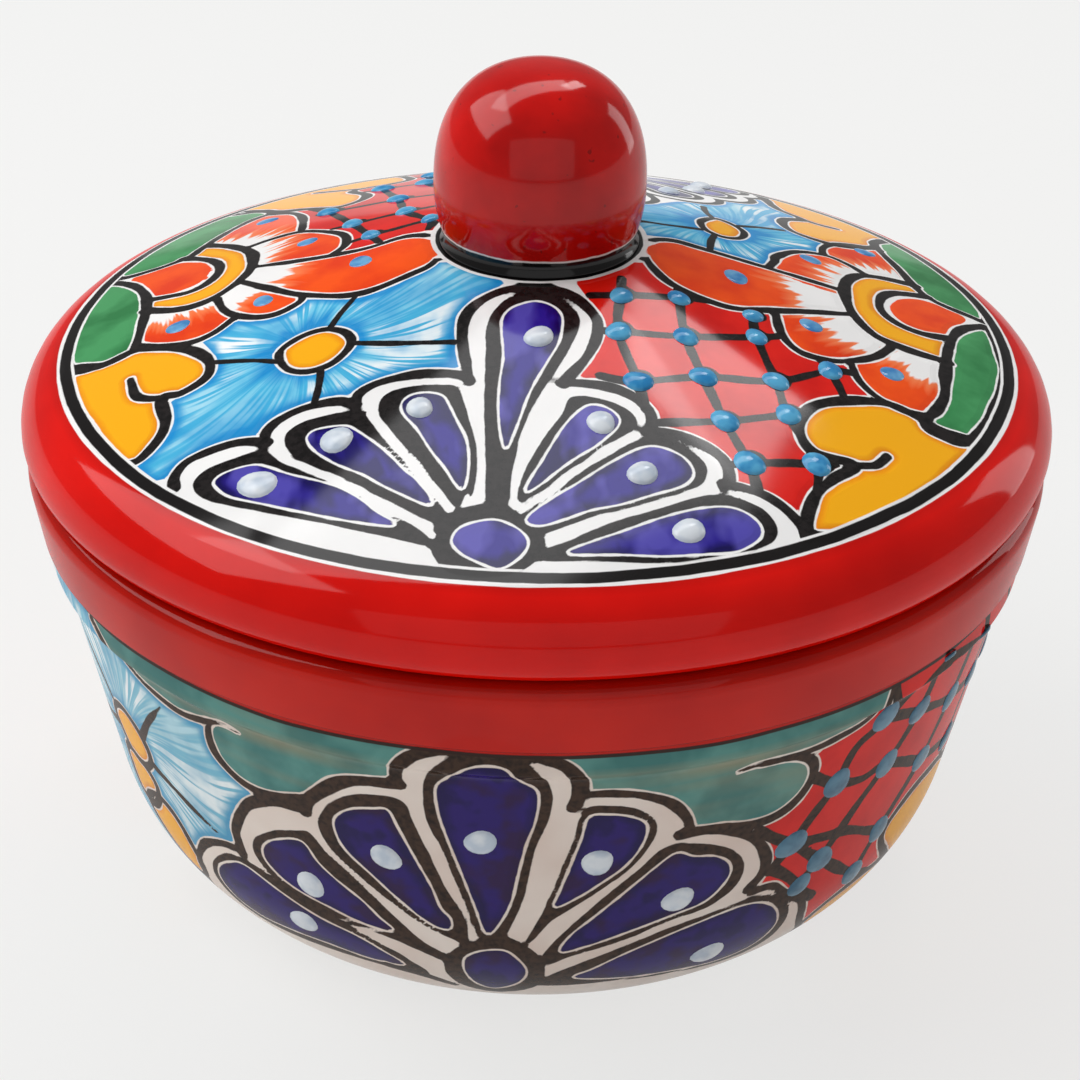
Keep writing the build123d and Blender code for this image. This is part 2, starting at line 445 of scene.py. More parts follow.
wall.stroke("ink", [
    (-33.1, 88.8), (-35.2, 89.4), (-37, 88.3), (-37.8, 85.4), (-38, 81.9), (-37.6, 78.1), (-36.3, 75),
    (-34.3, 72.5), (-32, 71.7), (-29.3, 72.6), (-26.2, 74.2),
], 2.4, taper=(0.3, 1.2))
wall.stroke("ink", [
    (22.2, 87.2), (24.5, 88), (27.5, 87.6), (30, 86.4), (31.7, 84), (32.4, 80.5), (32.2, 77), (31.2, 73),
    (29.4, 70), (27, 68.7), (23.9, 68.9), (21.3, 70.4), (18.2, 71.2),
], 2.8, taper=(0.3, 1.0))
wall.stroke("ink", [(-57, 97.6), (-53, 92.5), (-49.5, 88.8), (-46, 86.9), (-42.5, 86), (-39.5, 86.9),
                    (-37, 88.4)], 1.8)
wall.stroke("ink", [(25, 87.8), (31, 87.5), (35, 88.4), (38.5, 89.9), (40.3, 93), (41.3, 98.8)], 1.8)

# The lattice: ink lines over a red ground, with a drop of enamel where they cross
wall.patch("red", [
    (41.4, 103), (41.3, 98.5), (40.3, 93), (38.5, 89.9), (35, 88.4), (31.6, 87.3), (32.4, 80), (31.3, 73),
    (28, 68.6), (22, 69.6), (24, 62), (27, 50), (30, 42), (36, 30), (40, 16), (52, 2), (90, 2), (90, 103),
], smooth=False)
wall.without("red", "fan", -1.0)
wall.without("red", "teal", -0.6)
for line in (
    [(26.4, 66), (29, 61.6), (31.9, 57.2), (37.4, 47.2), (45.6, 33.8), (52, 27)],
    [(32.6, 78), (36.6, 72.4), (41, 69.6), (45.3, 69.8), (54.7, 60.7), (64, 56), (74, 50), (80, 44)],
    [(41.5, 98), (42.0, 87.5), (38.2, 82), (36.6, 72.4), (34.2, 65), (31.9, 57.2), (29.4, 50)],
    [(42.0, 87.5), (49.2, 82), (58, 76), (66, 73), (74, 72), (80, 66)],
    [(50.9, 95.5), (49.2, 82), (45.3, 69.8), (41.4, 60), (37.4, 47.2), (35, 40.9), (38, 34)],
    [(42.0, 87.5), (50.9, 95.5), (60, 92), (68, 90), (76, 88), (90, 92)],
    [(60, 101), (60, 92), (58, 76), (54.7, 60.7), (48.7, 45), (45.6, 33.8)],
    [(69, 101), (68, 90), (66, 73), (64, 56), (66, 44)],
    [(78, 101), (76, 88), (74, 72), (73, 60)],
    [(31.9, 57.2), (37, 55), (41.4, 52.6), (48.7, 45), (54, 44)],
    [(29.6, 51), (32, 47), (35, 40.9)],
    [(56, 4), (61.7, 9.7), (69, 11.5), (76, 10), (84, 12)],
    [(61.7, 9.7), (65, 3)],
    [(69, 11.5), (72, 3)],
):
    wall.stroke("line", line, 3.0)
bowl_lattice_drops = [
    (31.9, 57.2, 8.8), (36.7, 72.4, 8.6), (37.5, 47, 8.4), (35.0, 40.9, 7.0), (45.3, 69.8, 8.2),
    (42.1, 87.6, 8.4), (49.2, 82, 8.0), (48.7, 45, 8.0), (45.6, 33.8, 8.0), (54.7, 60.7, 8.2),
    (50.9, 95, 7.0), (61.7, 9.7, 7.0), (58, 76, 8.0), (66, 73, 7.6), (64, 56, 8.0), (60, 92, 7.4),
    (68, 90, 7.2), (76, 88, 7.2), (74, 72, 7.4), (69, 11.5, 6.8),
]

# Yellow leaves at the foot of the lattice
for leaf in (
    [(40.2, 19), (42.6, 25.6), (49.5, 28.6), (56.4, 25), (58.8, 17.6), (54.4, 10.6), (47.6, 9), (42, 12.6)],
    [(50.4, 40), (52.6, 46.6), (58, 50), (66, 47.4), (73.4, 38.4), (77.4, 27), (76, 17.4), (68.6, 14),
     (60.6, 20), (54.4, 29.6)],
):
    wall.outlined("yellow", leaf, 3.0)

# The sky: brushed blue round a small sun, with rays of ink
wall.patch("sky", [
    (-90, 12), (-90, 103), (-57, 103), (-57, 97.4), (-53, 92.5), (-49.5, 88.8), (-46, 86.9), (-42.5, 86),
    (-37.9, 87.5), (-38, 81.9), (-37.6, 78.1), (-36.3, 75), (-34.3, 72.5), (-30, 70.6), (-24, 70), (-36, 46),
    (-46, 36), (-50, 14),
], smooth=False)
wall.without("sky", "fan", -1.0)
wall.without("sky", "teal", -0.6)
sun = [(-62.6, 61), (-61, 66.6), (-57.6, 68.4), (-54.2, 64.6), (-53.4, 58.4), (-55.8, 53.6), (-60, 53.4)]
sun_leaf = [(-62.4, 52), (-57, 52.8), (-54.4, 49), (-55.4, 42.6), (-58.6, 38.4), (-62.4, 41)]
long_leaf = [(-59.6, 38.6), (-55.6, 44.6), (-51.8, 44), (-49.2, 38.6), (-47.8, 30.6), (-49.6, 24.4),
             (-53.4, 24.8), (-57, 31)]
low_leaf = [(-73.4, 12), (-72, 20), (-66, 23.4), (-58.6, 21), (-54.4, 15), (-58, 10.4), (-66, 9.4)]
for leaf in (sun, sun_leaf, long_leaf, low_leaf):
    wall.outlined("yellow", leaf, 2.4)
for ray in (
    [(-54.4, 63.4), (-51.6, 71), (-48.8, 77.5), (-45.9, 83.6)],
    [(-53.4, 57.4), (-48, 54.2), (-40.8, 48.6)],
    [(-61.6, 67), (-64.6, 75), (-69, 85)],
    [(-63, 59), (-69, 55.6), (-79, 50)],
):
    wall.stroke("line", ray, 2.2, taper=(1.1, 0.3))

# Between the lattice and the sky, on the sides that the camera doesn't see, a flower like the lid's
side_petals = [
    (-25, 43, 6.6, -12, 22, 2.0), (-17, 61, 7.4, -7, 28, 2.0), (0, 71, 8.6, 0, 30, 3.0),
    (17, 61, 7.4, 7, 28, 2.0), (25, 43, 6.6, 12, 22, 2.0),
]
side_petals = [(90 * degree + a, b, c, 90 * degree + d, e, f) for a, b, c, d, e, f in side_petals]
heart = [(80.5, 6), (81.4, 20), (85.4, 28), (90, 30.6), (94.6, 28), (98.6, 20), (99.5, 6), (90, 2)]
core = [(85, 6), (86, 15), (90, 19), (94, 15), (95, 6), (90, 3)]
wall.petals("side", side_petals, 3.2)
wall.patch("side", heart)
for name in ("red", "sky", "line", "yellow", "teal", "ink"):
    wall.without(name, "side", -1.2)
wall.petals("orange", side_petals)
wall.band("ink", "side", "orange", bare_line)
wall.patch("heart", heart)
for name in ("orange", "ink", "line", "red", "sky"):
    wall.without(name, "heart")
wall.patch("core", core)
wall.band("yellow", "heart", "core", 0.0)
wall.patch("orange", core)
wall.stroke("ink", heart[:7], 2.6)
wall.stroke("ink", core[:5], 2.2)
wall.stroke("ink", [(90, 102), (89.6, 92), (90, 82)], 2.4)
wall.drop("heart", "side", "core")

for name in ("red", "sky", "line"):
    wall.without(name, "yellow")
wall.only_on("line", ("red", "sky"), 0.8)
for name in ("cobalt", "red", "teal", "sky", "yellow", "orange"):
    wall.without(name, "ink", 0.5)
wall.without("line", "fan", 0.3)

# The bowl has no green, but the glaze reads it
wall.paint("green")
wall.give(bowl)


def wander(flat):
    """Points shifted a little as a hand strays: x by 1.8 sin(y / 8), y by 1.8 sin(x / 7)."""
    return flat + 1.8 * np.sin(flat[:, ::-1] / [8, 7])


# The distances are kept in units of this many millimetres
brush_unit = 60


def brushed(piece, offsets, which):
    """Keeps the way of the brush: the direction and the distance of the one offset that a vertex takes."""
    offset = offsets[which, np.arange(len(which))]
    length = np.maximum(np.hypot(*offset.T), 0.01)
    keep(piece, "brush", np.column_stack([offset / length[:, None], length / brush_unit]))


# The brush went out from each sun and from the heart of each flower, whichever is nearest
middles = np.array([(-58, 61), (90, 10)]) * wall.unit
starts = [middle + [shift, 0] for middle in middles for shift in wall.shifts]
offsets = np.array([wander(wall.flat) - start for start in starts])
brushed(bowl, offsets, np.hypot(offsets[..., 0], offsets[..., 1]).argmin(0))

# How far from there the orange starts: it covers a flower's core whole, and is feathered in its petals
covered, feathered = -40.0, 30.0
core_top = 21
in_core = (wall.paint("orange") > -3) & (bowl_points[:, 2] < core_top)
keep(bowl, "feather", np.where(in_core, covered, feathered))


class Signal:
    """A number or a colour on its way through a glaze's nodes; sums with it add Math nodes."""

    def __init__(self, socket):
        self.socket = socket

    def made(self, operation, *others, clamp=False):
        """A Math node on this signal and the others."""
        made = self.socket.id_data.nodes.new("ShaderNodeMath")
        made.operation = operation
        made.use_clamp = clamp
        for place, value in zip(made.inputs, (self, *others)):
            if isinstance(value, Signal):
                self.socket.id_data.links.new(value.socket, place)
            else:
                place.default_value = value
        return Signal(made.outputs[0])

    def __add__(self, other):
        return self.made("ADD", other)

    def __mul__(self, other):
        return self.made("MULTIPLY", other)

    def __sub__(self, other):
        return self.made("SUBTRACT", other)

    def __rsub__(self, other):
        return self * -1.0 + other

    __radd__ = __add__
    __rmul__ = __mul__

    def edge(self, soft=0.22):
        """1 where a distance in millimetres is above nothing and 0 below, over a soft width."""
        return self.made("MULTIPLY_ADD", 1 / soft, 0.5, clamp=True)

    def between(self, low, high):
        """How far the signal has come from low to high, from 0 to 1."""
        return self.made("MULTIPLY_ADD", 1 / (high - low), -low / (high - low), clamp=True)

    def at_least(self, other):
        return self.made("MAXIMUM", other)


def colour(red, green, blue):
    """A paint colour given as it looks on a screen, 0 to 255, as the light that it gives back."""
    share = np.array([red, green, blue]) / 255
    linear = np.where(share <= 0.04045, share / 12.92, ((share + 0.055) / 1.055) ** 2.4)
    return (*linear.tolist(), 1.0)


class Glaze:
    """A fired surface: nodes that lay paints over one another under one clear coat."""

    def __init__(self, name):
        self.material = bpy.data.materials.new(name)
        self.material.use_nodes = True
        self.tree = self.material.node_tree
        self.tree.nodes.clear()

    def node(self, kind, settings=None, sockets=None, output=0):
        """Any node: its settings first, then the values or links of its sockets."""
        made = self.tree.nodes.new(kind)
        for name, value in (settings or {}).items():
            setattr(made, name, value)
        for place, value in (sockets or {}).items():
            if isinstance(value, Signal):
                self.tree.links.new(value.socket, made.inputs[place])
            else:
                made.inputs[place].default_value = value
        return Signal(made.outputs[output]) if made.outputs else None

    def number(self, name):
        """One of the numbers that were put on the vertices."""
        return self.node("ShaderNodeAttribute", {"attribute_name": name}, output=2)

    def vector(self, name):
        return self.node("ShaderNodeAttribute", {"attribute_name": name}, output=1)

    def part(self, vector, which):
        """One part of a vector: 0 for x, 1 for y, 2 for z."""
        return self.node("ShaderNodeSeparateXYZ", sockets={0: vector}, output=which)

    def point(self):
        """The point on the piece, in metres."""
        return self.node("ShaderNodeTexCoord", output=3)

    def cloud(self, vector, scale, detail=2.0, stretch=(1, 1, 1)):
        """Soft noise from 0 to 1 about a half, at so many to the metre, or stretched along an axis."""
        vector = self.node("ShaderNodeMapping", sockets={"Vector": vector, "Scale": stretch})
        return self.node("ShaderNodeTexNoise", sockets={"Vector": vector, "Scale": scale, "Detail": detail})

    def over(self, below, mask, above):
        """The colour above laid on the colour below as far as the mask goes."""
        sockets = {0: mask, 6: below, 7: above}
        return self.node("ShaderNodeMix", {"data_type": "RGBA"}, sockets, output=2)

    def mottled(self, cloud, dark, light, low=0.3, high=0.7):
        """Two shades of one paint, mixed as a cloud goes from low to high."""
        return self.over(colour(*dark), cloud.between(low, high), colour(*light))

    def lining(self, cloud):
        """The pale glaze on what isn't seen when the warmer is closed."""
        return self.mottled(cloud, (222, 208, 190), (238, 228, 214))

    def clay(self, point):
        """Bare fired earthenware."""
        return self.over(colour(150, 84, 56), self.cloud(point, 900.0, 4.0), colour(196, 122, 84))

    def thrown(self, point):
        """The fine rings that the wheel leaves."""
        return self.cloud(point, 240.0, 2.0, (0.1, 0.1, 1))

    def fired(self, paint, roughness, height, depth, coat=0.6, coat_roughness=0.05):
        """The shader: paint, a clear coat over it, and relief of so many metres from a height of 0 to 1."""
        relief = self.node("ShaderNodeBump", sockets={"Strength": 1.0, "Distance": depth, "Height": height})
        sockets = {
            "Base Color": paint,
            "Roughness": roughness,
            "Specular IOR Level": 0.0,
            "Coat Weight": coat,
            "Coat Roughness": coat_roughness,
            "Normal": relief,
        }
        shader = self.node("ShaderNodeBsdfPrincipled", sockets=sockets)
        self.node("ShaderNodeOutputMaterial", sockets={"Surface": shader})
        return self.material


# The garland's teal turns beige-olive between these heights,
# rising over the first pair and fading over the second
beige_rises, beige_fades = (86.5, 91.0), (95.5, 92.0)


def painted(glaze, ground, brush, hand, inks, blues, skies):
    """The paints laid on the ground one after another, each with its own way of taking to the glaze.

    brush is the direction and distance from where the brush went out, and hand the place on the piece.
    inks, blues and skies are shades of ink, cobalt and sky, from dark to light but for the last cobalt,
    which pools on top. Returns the colour, the height of the paint and the mask of the ink.
    """
    bundle = glaze.cloud(brush, 3.2, 1.0, (1, 1, 0.3))
    strokes = glaze.cloud(brush, 18.0, 1.0, (1, 1, 0.16))
    wash = glaze.cloud(hand, 70.0, 3.0)
    wobble = (glaze.cloud(hand, 260.0, 2.0) - 0.5) * 0.5
    out = glaze.part(brush, 2) * brush_unit

    teal = glaze.number("teal") + wobble
    shade = glaze.mottled(wash, (66, 122, 118), (92, 148, 140), 0.4, 0.6)
    drawn = glaze.cloud(hand, 90.0, 2.0, (0.15, 0.15, 1))
    level = glaze.part(hand, 2) * 1000.0
    # The teal is painted beige-olive in a band at the bevel below the collar, and in faint streaks
    beige_band = level.between(*beige_rises) * level.between(*beige_fades) * drawn.between(0.34, 0.6)
    shade = glaze.over(shade, beige_band.at_least(drawn.between(0.55, 0.75) * 0.5) * 0.8, colour(158, 142, 108))
    paint = glaze.over(ground, teal.edge(), shade)

    red = glaze.number("red") + wobble
    shade = glaze.mottled(wash, (204, 8, 2), (228, 26, 14), 0.3, 0.6)
    paint = glaze.over(paint, red.edge(), shade)

    sky = glaze.number("sky") + wobble
    inside = sky + (wash - 0.5) * 5.0
    shade = glaze.over(skies[1], strokes.between(0.4, 0.6), skies[2])
    sweep = (out - 15.0 + (bundle - 0.5) * 34.0).between(0.0, 7.0) * inside.between(1.6, 3.6)
    shade = glaze.over(shade, sweep * strokes.between(0.48, 0.58) * 0.6, colour(192, 232, 246))
    bare_streaks = bundle.between(0.49, 0.56) * (strokes * 0.7 + bundle * 0.3).between(0.51, 0.555)
    shade = glaze.over(shade, sweep * bare_streaks, colour(248, 252, 253))
    deep = inside.between(3.0, 0.8).at_least((out - 9.4 + (bundle - 0.5) * 20.0).between(5.0, 0.0)) * 0.85
    shade = glaze.over(shade, deep, skies[0])
    paint = glaze.over(paint, sky.edge(), shade)

    yellow = glaze.number("yellow") + wobble
    shade = glaze.over(colour(240, 142, 6), (yellow + wash * 2.0).between(1.0, 2.6), colour(253, 178, 14))
    paint = glaze.over(paint, yellow.edge(), shade)

    orange = glaze.number("orange") + wobble
    ragged = out - glaze.number("feather") - (strokes - 0.5) * 17.0
    shade = glaze.mottled(wash, (232, 58, 2), (250, 84, 6), 0.35, 0.6)
    shade = glaze.over(shade, ragged.between(6.0, 0.0) * 0.75, colour(252, 150, 96))
    paint = glaze.over(paint, orange.edge() * ragged.between(-0.6, 0.8), shade)

    green = glaze.number("green") + wobble
    shade = glaze.mottled(wash, (40, 122, 66), (70, 154, 94), 0.35, 0.6)
    paint = glaze.over(paint, green.edge(), shade)

    cobalt = glaze.number("cobalt") + wobble
    pool = glaze.cloud(hand, 110.0, 2.0, (1, 0.5, 1))
    shade = glaze.over(blues[0], (cobalt + (wash - 0.5) * 8.0).between(0.3, 2.6), blues[1])
    shade = glaze.over(shade, pool.between(0.5, 0.64) * 0.75, blues[2])
    shade = glaze.over(shade, pool.between(0.42, 0.34) * 0.8, blues[0])
    paint = glaze.over(paint, cobalt.edge(), shade)

    line = glaze.number("line") + wobble
    ink = glaze.number("ink") + wobble
    dry = glaze.cloud(hand, 600.0, 2.0).between(0.3, 0.6)
    marks = line.at_least(ink).edge()
    paint = glaze.over(paint, marks, glaze.over(inks[0], dry, inks[1]))

    thick = teal.at_least(red).at_least(sky).at_least(yellow).at_least(orange).at_least(green)
    height = thick.at_least(cobalt).between(0.0, 1.6) * 0.7 + marks * 0.35
    return paint, height, marks


# What comes after the last ring on top of the lip is the bowl's inside
brim = np.flatnonzero(bowl_section[1:-1, 1] > bowl_height - 0.01)[-1]
keep(bowl, "inner", bowl_ring > brim)

glaze = Glaze("bowl_glaze")
point = glaze.point()
z = glaze.part(point, 2) * 1000.0
cloud = glaze.cloud(point, 40.0)
ground = glaze.mottled(cloud, (228, 208, 196), (242, 230, 220))
paint, height, marks = painted(
    glaze, ground, glaze.vector("brush"), point,
    (colour(38, 25, 18), colour(66, 46, 34)),
    (colour(24, 7, 74), colour(40, 17, 106), colour(46, 17, 56)),
    (colour(58, 150, 196), colour(122, 190, 214), colour(178, 216, 226)),
)

# Heights: where the red band starts, where it is painted darker on the lip as shade under the lid,
# where it ends inside, and where the glaze ends
red_edge = 99.0
lip_shade_from = 116.0
red_inside = 115.6
glaze_edge = 1.3
above = z - red_edge + (glaze.cloud(point, 22.0) - 0.5) * 1.6
band = glaze.mottled(cloud, (188, 16, 2), (206, 26, 6))
# Painted shade: the lip's top, under the lid's rim, is darkened towards a deep red
band = glaze.over(band, (z - lip_shade_from).edge(2.0) * 0.35, colour(120, 8, 4))
paint = glaze.over(paint, (above + 0.9).edge(), colour(52, 30, 22))
paint = glaze.over(paint, above.edge(), band)
# Painted shadow: a thin dark line where the band steps out over the wall
band_step_shadow = (z - collar_top + 0.3).edge() * (collar_top + 0.3 - z).edge()
paint = glaze.over(paint, band_step_shadow, colour(64, 22, 16))
inner = glaze.number("inner").made("GREATER_THAN", 0.5)
paint = glaze.over(paint, inner * (red_inside - z).edge(0.6), glaze.lining(cloud))
bare = (glaze_edge - z + (cloud - 0.5) * 1.4).edge(0.4)
paint = glaze.over(paint, bare, glaze.clay(point))
height = height * (1 - above.edge()) * (1 - inner) + cloud * 0.8 + glaze.thrown(point) * 0.5
coat = (1 - bare) * (0.44 - marks * 0.06)
bowl.data.materials.append(glaze.fired(paint, 0.4 + bare * 0.5, height, paint_relief, coat))
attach(bowl, "bowl")
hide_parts("bowl")


# Lid
# A low dome thrown in one with its rolled red rim, and turned underneath to leave a flange that
# keeps it in the bowl's mouth. The crown is painted up to a black ring; the flange is left bare.

# Radii and heights in millimetres: the rim's widest place, the seat on the lip, the painted panel's
# edge, the knob's seat and the flange
rim_edge = (126.8, 123.8)
seat_height = 118.3
seat_edge = (121.3, seat_height)
panel_edge = np.array([117.4, 137.6])
knob_seat = np.array([28.0, 165.6])
crown_radius = 1600
lid_wall = np.array([0, 7.0])
flange_inner, flange_outer = 111.5, 116.5
flange_tip = 109.3
flange_draft = 0.8
chord = panel_edge - knob_seat
bulge = np.arcsin(np.hypot(*chord) / 2 / crown_radius)
slope = np.arctan2(chord[1], chord[0])
crown_start = (np.cos(slope + bulge), np.sin(slope + bulge))
crown_end = (np.cos(slope - bulge), np.sin(slope - bulge))
crown = arc(knob_seat, crown_start, panel_edge, 95)
rim = arc(panel_edge, crown_end, rim_edge, 9)
roll = arc(rim_edge, (0, -1), seat_edge, 5)
under_seat = knob_seat - lid_wall
under_panel = (flange_inner, panel_edge[1] - lid_wall[1])
lid_section = joined(
    [(0, under_seat[1]), (14, under_seat[1])],
    arc(under_seat, crown_start, under_panel, 8),
    eased(
        [under_panel, (flange_inner, seat_height), (flange_inner + flange_draft, flange_tip),
         (flange_outer - flange_draft, flange_tip), (flange_outer, seat_height), seat_edge],
        [2.0, 1.6, 1.6, 1.0],
        4,
    )[1:],
    roll[::-1][1:],
    rim[::-1][1:],
    crown[::-1][1:],
    [(14, knob_seat[1]), (0, knob_seat[1])],
)
lid, lid_points, _, lid_ring = turned("painted_lid", lid_section, 800)
first_crown = len(lid_section) - 2 - len(crown)
first_roll = first_crown - (len(rim) - 1) - (len(roll) - 1)

# The crown is drawn as seen from above; the lid's other rings are put far off the sheet
far_off = 9e3
on_crown = lid_ring >= first_crown
top = Sheet(np.where(on_crown[:, None], lid_points[:, :2], far_off))

# The fan at the front: for each petal the outer edge of its broad ink line and the edge of its cobalt
lid_fan = [
    ([(-22, -103.8), (-31.7, -95.2), (-40, -88.4), (-47.8, -82.8), (-54.4, -76.8), (-58.9, -73.3),
      (-61.4, -72.5), (-66.7, -73.8), (-72, -75.3), (-74.8, -78), (-75, -80.8), (-73.3, -83.9),
      (-69.4, -86.9), (-58.9, -91.9), (-50, -95.6), (-40, -99.6), (-31.7, -102.8), (-22, -106)],
     [(-30, -99.7), (-34.4, -95.4), (-40, -89.8), (-45.6, -86.1), (-53.9, -81.9), (-58.9, -78.6),
      (-62.4, -77.2), (-67.8, -78), (-70.2, -79.9), (-69.4, -82.2), (-66.1, -85.6), (-58.9, -89.2),
      (-51.1, -92.8), (-40, -97.2)]),
    ([(-17.8, -97.2), (-20.6, -93.2), (-24.4, -86.7), (-28.9, -78.9), (-32.8, -72.2), (-35.8, -67),
      (-38.6, -65.1), (-42.5, -64.5), (-47, -64.7), (-52.2, -65.8), (-55.3, -68.3), (-55.6, -71.9),
      (-53.4, -76.2), (-50, -80), (-43.9, -83.4), (-38.3, -87.8), (-31.7, -92.8), (-20.4, -100.4)],
     [(-22.5, -94.7), (-25, -88.9), (-28.9, -84.2), (-33.3, -78.2), (-37.2, -73.9), (-40, -71),
      (-42.2, -69.3), (-46.1, -68.9), (-49.4, -69.4), (-50.4, -71.6), (-48.3, -75.6), (-43.3, -80.4),
      (-37.2, -84.5), (-31.7, -89)]),
    ([(-13.6, -92.6), (-12.8, -86.1), (-13.2, -77.8), (-15, -70), (-16.4, -64.4), (-18, -60.2),
      (-21.6, -59.2), (-26.1, -58.9), (-31.7, -59.4), (-34.6, -61.4), (-35.3, -64.4), (-34.2, -68.6),
      (-31.1, -74.4), (-26.1, -81.1), (-22.2, -87.8), (-19.4, -92.8), (-17, -96.4), (-15.8, -94.6),
      (-14.8, -92)],
     [(-15.6, -90.3), (-14.9, -84), (-15.6, -76.7), (-17.8, -71), (-19.7, -66), (-21.2, -63),
      (-24.4, -61.6), (-27.9, -61.9), (-29.8, -64), (-29.3, -67.3), (-26.1, -72.3), (-22.8, -78.9),
      (-19.4, -84.6), (-17.2, -88.9)]),
    ([(-10.3, -95), (-10.9, -86), (-11.2, -77.8), (-11.7, -66.7), (-11.8, -50), (-11.9, -42.2),
      (-10.6, -36.8), (-7.8, -32.5), (-4.4, -30.5), (-0.6, -29.9), (3.9, -31.1), (7.2, -33.9),
      (9.2, -37.2), (9.5, -40.6), (8.4, -45), (6.1, -51.1), (3.3, -57.8), (0.6, -63.3), (-1.7, -68.9),
      (-3.6, -73), (-4.3, -81), (-5.3, -87), (-6, -95)],
     [(-6.7, -79.2), (-7.8, -73.9), (-8.3, -66.7), (-8.1, -58.9), (-7.5, -51.1), (-8.1, -42.2), (-7.9, -38.6),
      (-6.4, -35.9), (-3.9, -34.3), (-0.6, -33.4), (2.8, -34.6), (5, -37.4), (5.2, -41.6), (4.4, -46.7),
      (2.2, -52.2), (-0.6, -58.9), (-2.5, -64.4), (-3.9, -70), (-5.4, -75.6)]),
    ([(-3.9, -93), (-3.1, -87.8), (-0.6, -81.1), (2.2, -75), (5.6, -68.9), (7, -64.2), (10, -63.3),
      (14.4, -63.8), (18.9, -65.6), (21.6, -68.2), (21.9, -71.2), (20, -74), (16.1, -77.8), (11.1, -82.2),
      (6.1, -86.1), (1.7, -89.6), (-2.6, -94.6)],
     [(-2, -91.6), (-0.9, -88), (1.1, -83.9), (3.3, -78.9), (5.6, -73.9), (8.3, -69.4), (11.1, -66.4),
      (13.6, -66), (16.3, -67.2), (17.9, -69.4), (17.6, -71.6), (16.1, -73.9), (12.8, -77.8), (8.3, -81.7),
      (4.4, -85.6), (1.1, -89.2)]),
    ([(-3, -97.6), (-0.6, -94), (3.3, -91), (8.9, -86.1), (14.4, -81.7), (19.4, -77.3), (22.8, -75),
      (26.1, -73.9), (29.4, -74.4), (33.9, -76.8), (36.7, -80), (37, -83.3), (35.6, -86.6), (32.2, -88.9),
      (26.7, -91.9), (19.4, -95), (12.8, -97.8), (7.2, -100.6), (0.6, -103.2)],
     [(-1.7, -99.2), (3.3, -93.9), (8.9, -89.4), (15, -83.9), (20.6, -79.4), (24.4, -77.2), (27.8, -77.2),
      (31.6, -79), (33.6, -81.8), (33.6, -84.6), (31.1, -87.5), (25, -90.6), (18.3, -93.9), (11.7, -96.1),
      (6.1, -98.9), (0.8, -100.8)]),
    ([(1.6, -107.6), (7.2, -104.8), (11.1, -102.2), (18.3, -98.3), (26.7, -94.4), (33.9, -90.6),
      (38.3, -88.9), (43.3, -88.9), (48.3, -90.7), (51.1, -93.9), (51.7, -97.4), (49.6, -101),
      (44.4, -103.8), (35, -107.4), (29.4, -109), (21.1, -109.8), (12.8, -110), (1.6, -110.2)],
     [(7.2, -108.1), (12.8, -104.7), (18.3, -102), (25, -98.3), (31.7, -95), (36.7, -93.1), (41.7, -92.2),
      (45.6, -93.5), (47.9, -96.1), (47.8, -99), (45.4, -101.8), (41.7, -104.2), (35, -105.7), (26.7, -107.2),
      (18.3, -107.6)]),
]
lid_hub = [
    (-22.4, -105), (-21.1, -100.2), (-18.3, -97.2), (-13.3, -95.4), (-8, -94.9), (-3.9, -97.2), (-1.1, -99.4),
    (1.5, -103.3), (2.1, -106.6), (0.6, -110), (-4, -113.6), (-12, -114.6), (-18.9, -112.4),
]
lid_eye = [
    (-17.3, -105.2), (-16.2, -102), (-13, -100.3), (-8.5, -99.7), (-4.4, -101.7), (-1.9, -104.6),
    (-2.1, -107.4), (-4.2, -110.2), (-7.5, -112.2), (-11.5, -110.6), (-15.2, -108.2),
]
top.fan(lid_fan, lid_hub, lid_eye, 1.8)

# The fan behind is placed from what the photograph shows of it
lid_back_fan = [
    (50.0, 94.5, 5.4, 25.0, 102.6), (45.5, 79.0, 5.2, 23.5, 97.0), (36.0, 63.5, 4.6, 19.6, 92.4),
    (16.5, 44.0, 6.0, 13.4, 84.0), (-2.5, 62.0, 4.4, 7.4, 90.6), (-12.0, 78.0, 4.8, 2.6, 95.6),
    (-19.0, 95.0, 5.0, 0.6, 102.6),
]
top.petals("cobalt", [(*petal, 0.3) for petal in lid_back_fan])
top.petals("fan_ink", [(*petal, -1.6) for petal in lid_back_fan], 3.2)
top.petals("back", [(*petal, 1.0) for petal in lid_back_fan], 7.4)
back_hub = [(12.6, 116), (6, 113), (3, 106), (6.6, 99), (12.6, 96.4), (19, 99), (22.2, 105), (19.6, 112.6)]
back_eye = [(12.6, 111.6), (8.2, 110), (6.8, 105.8), (9.2, 101.4), (13, 100.2), (17, 102), (18.4, 106),
            (16.4, 110)]
top.patch("fan_ink", back_hub)
top.patch("cobalt", back_eye)
top.band("ink", "fan_ink", "cobalt", bare_line)

# Slits of bare ground part the petals at the front
for width, taper, gap in (
    (1.9, (1.1, 0.9), [(-58.9, -72.2), (-55.6, -76.7), (-51.1, -79.7), (-47.8, -82.2), (-42.8, -86.1)]),
    (2.6, (0.5, 0.6), [(-47.8, -82.2), (-42.8, -86.1), (-38.3, -88.9), (-33.3, -93.9), (-28.3, -97.2),
                       (-24.4, -100), (-21.7, -103.3)]),
    (2.3, (1.0, 0.9), [(-36.7, -66.1), (-35.3, -68.9), (-32.8, -73.3), (-30, -77.8), (-26.7, -83.3),
                       (-23.9, -87.8), (-21.1, -91.7), (-18.3, -96.1)]),
    (1.7, (1.1, 0.9), [(22.2, -73.2), (18.3, -76), (14.4, -79.3), (11.1, -83.2), (7.7, -86.5), (3.7, -91),
                       (-0.4, -94.7), (-3.1, -97.2)]),
):
    top.stroke("gap", gap, width, taper=taper)
top.without("ink", "gap")
top.drop("gap")
top.contour("ink", "back", 2.4)

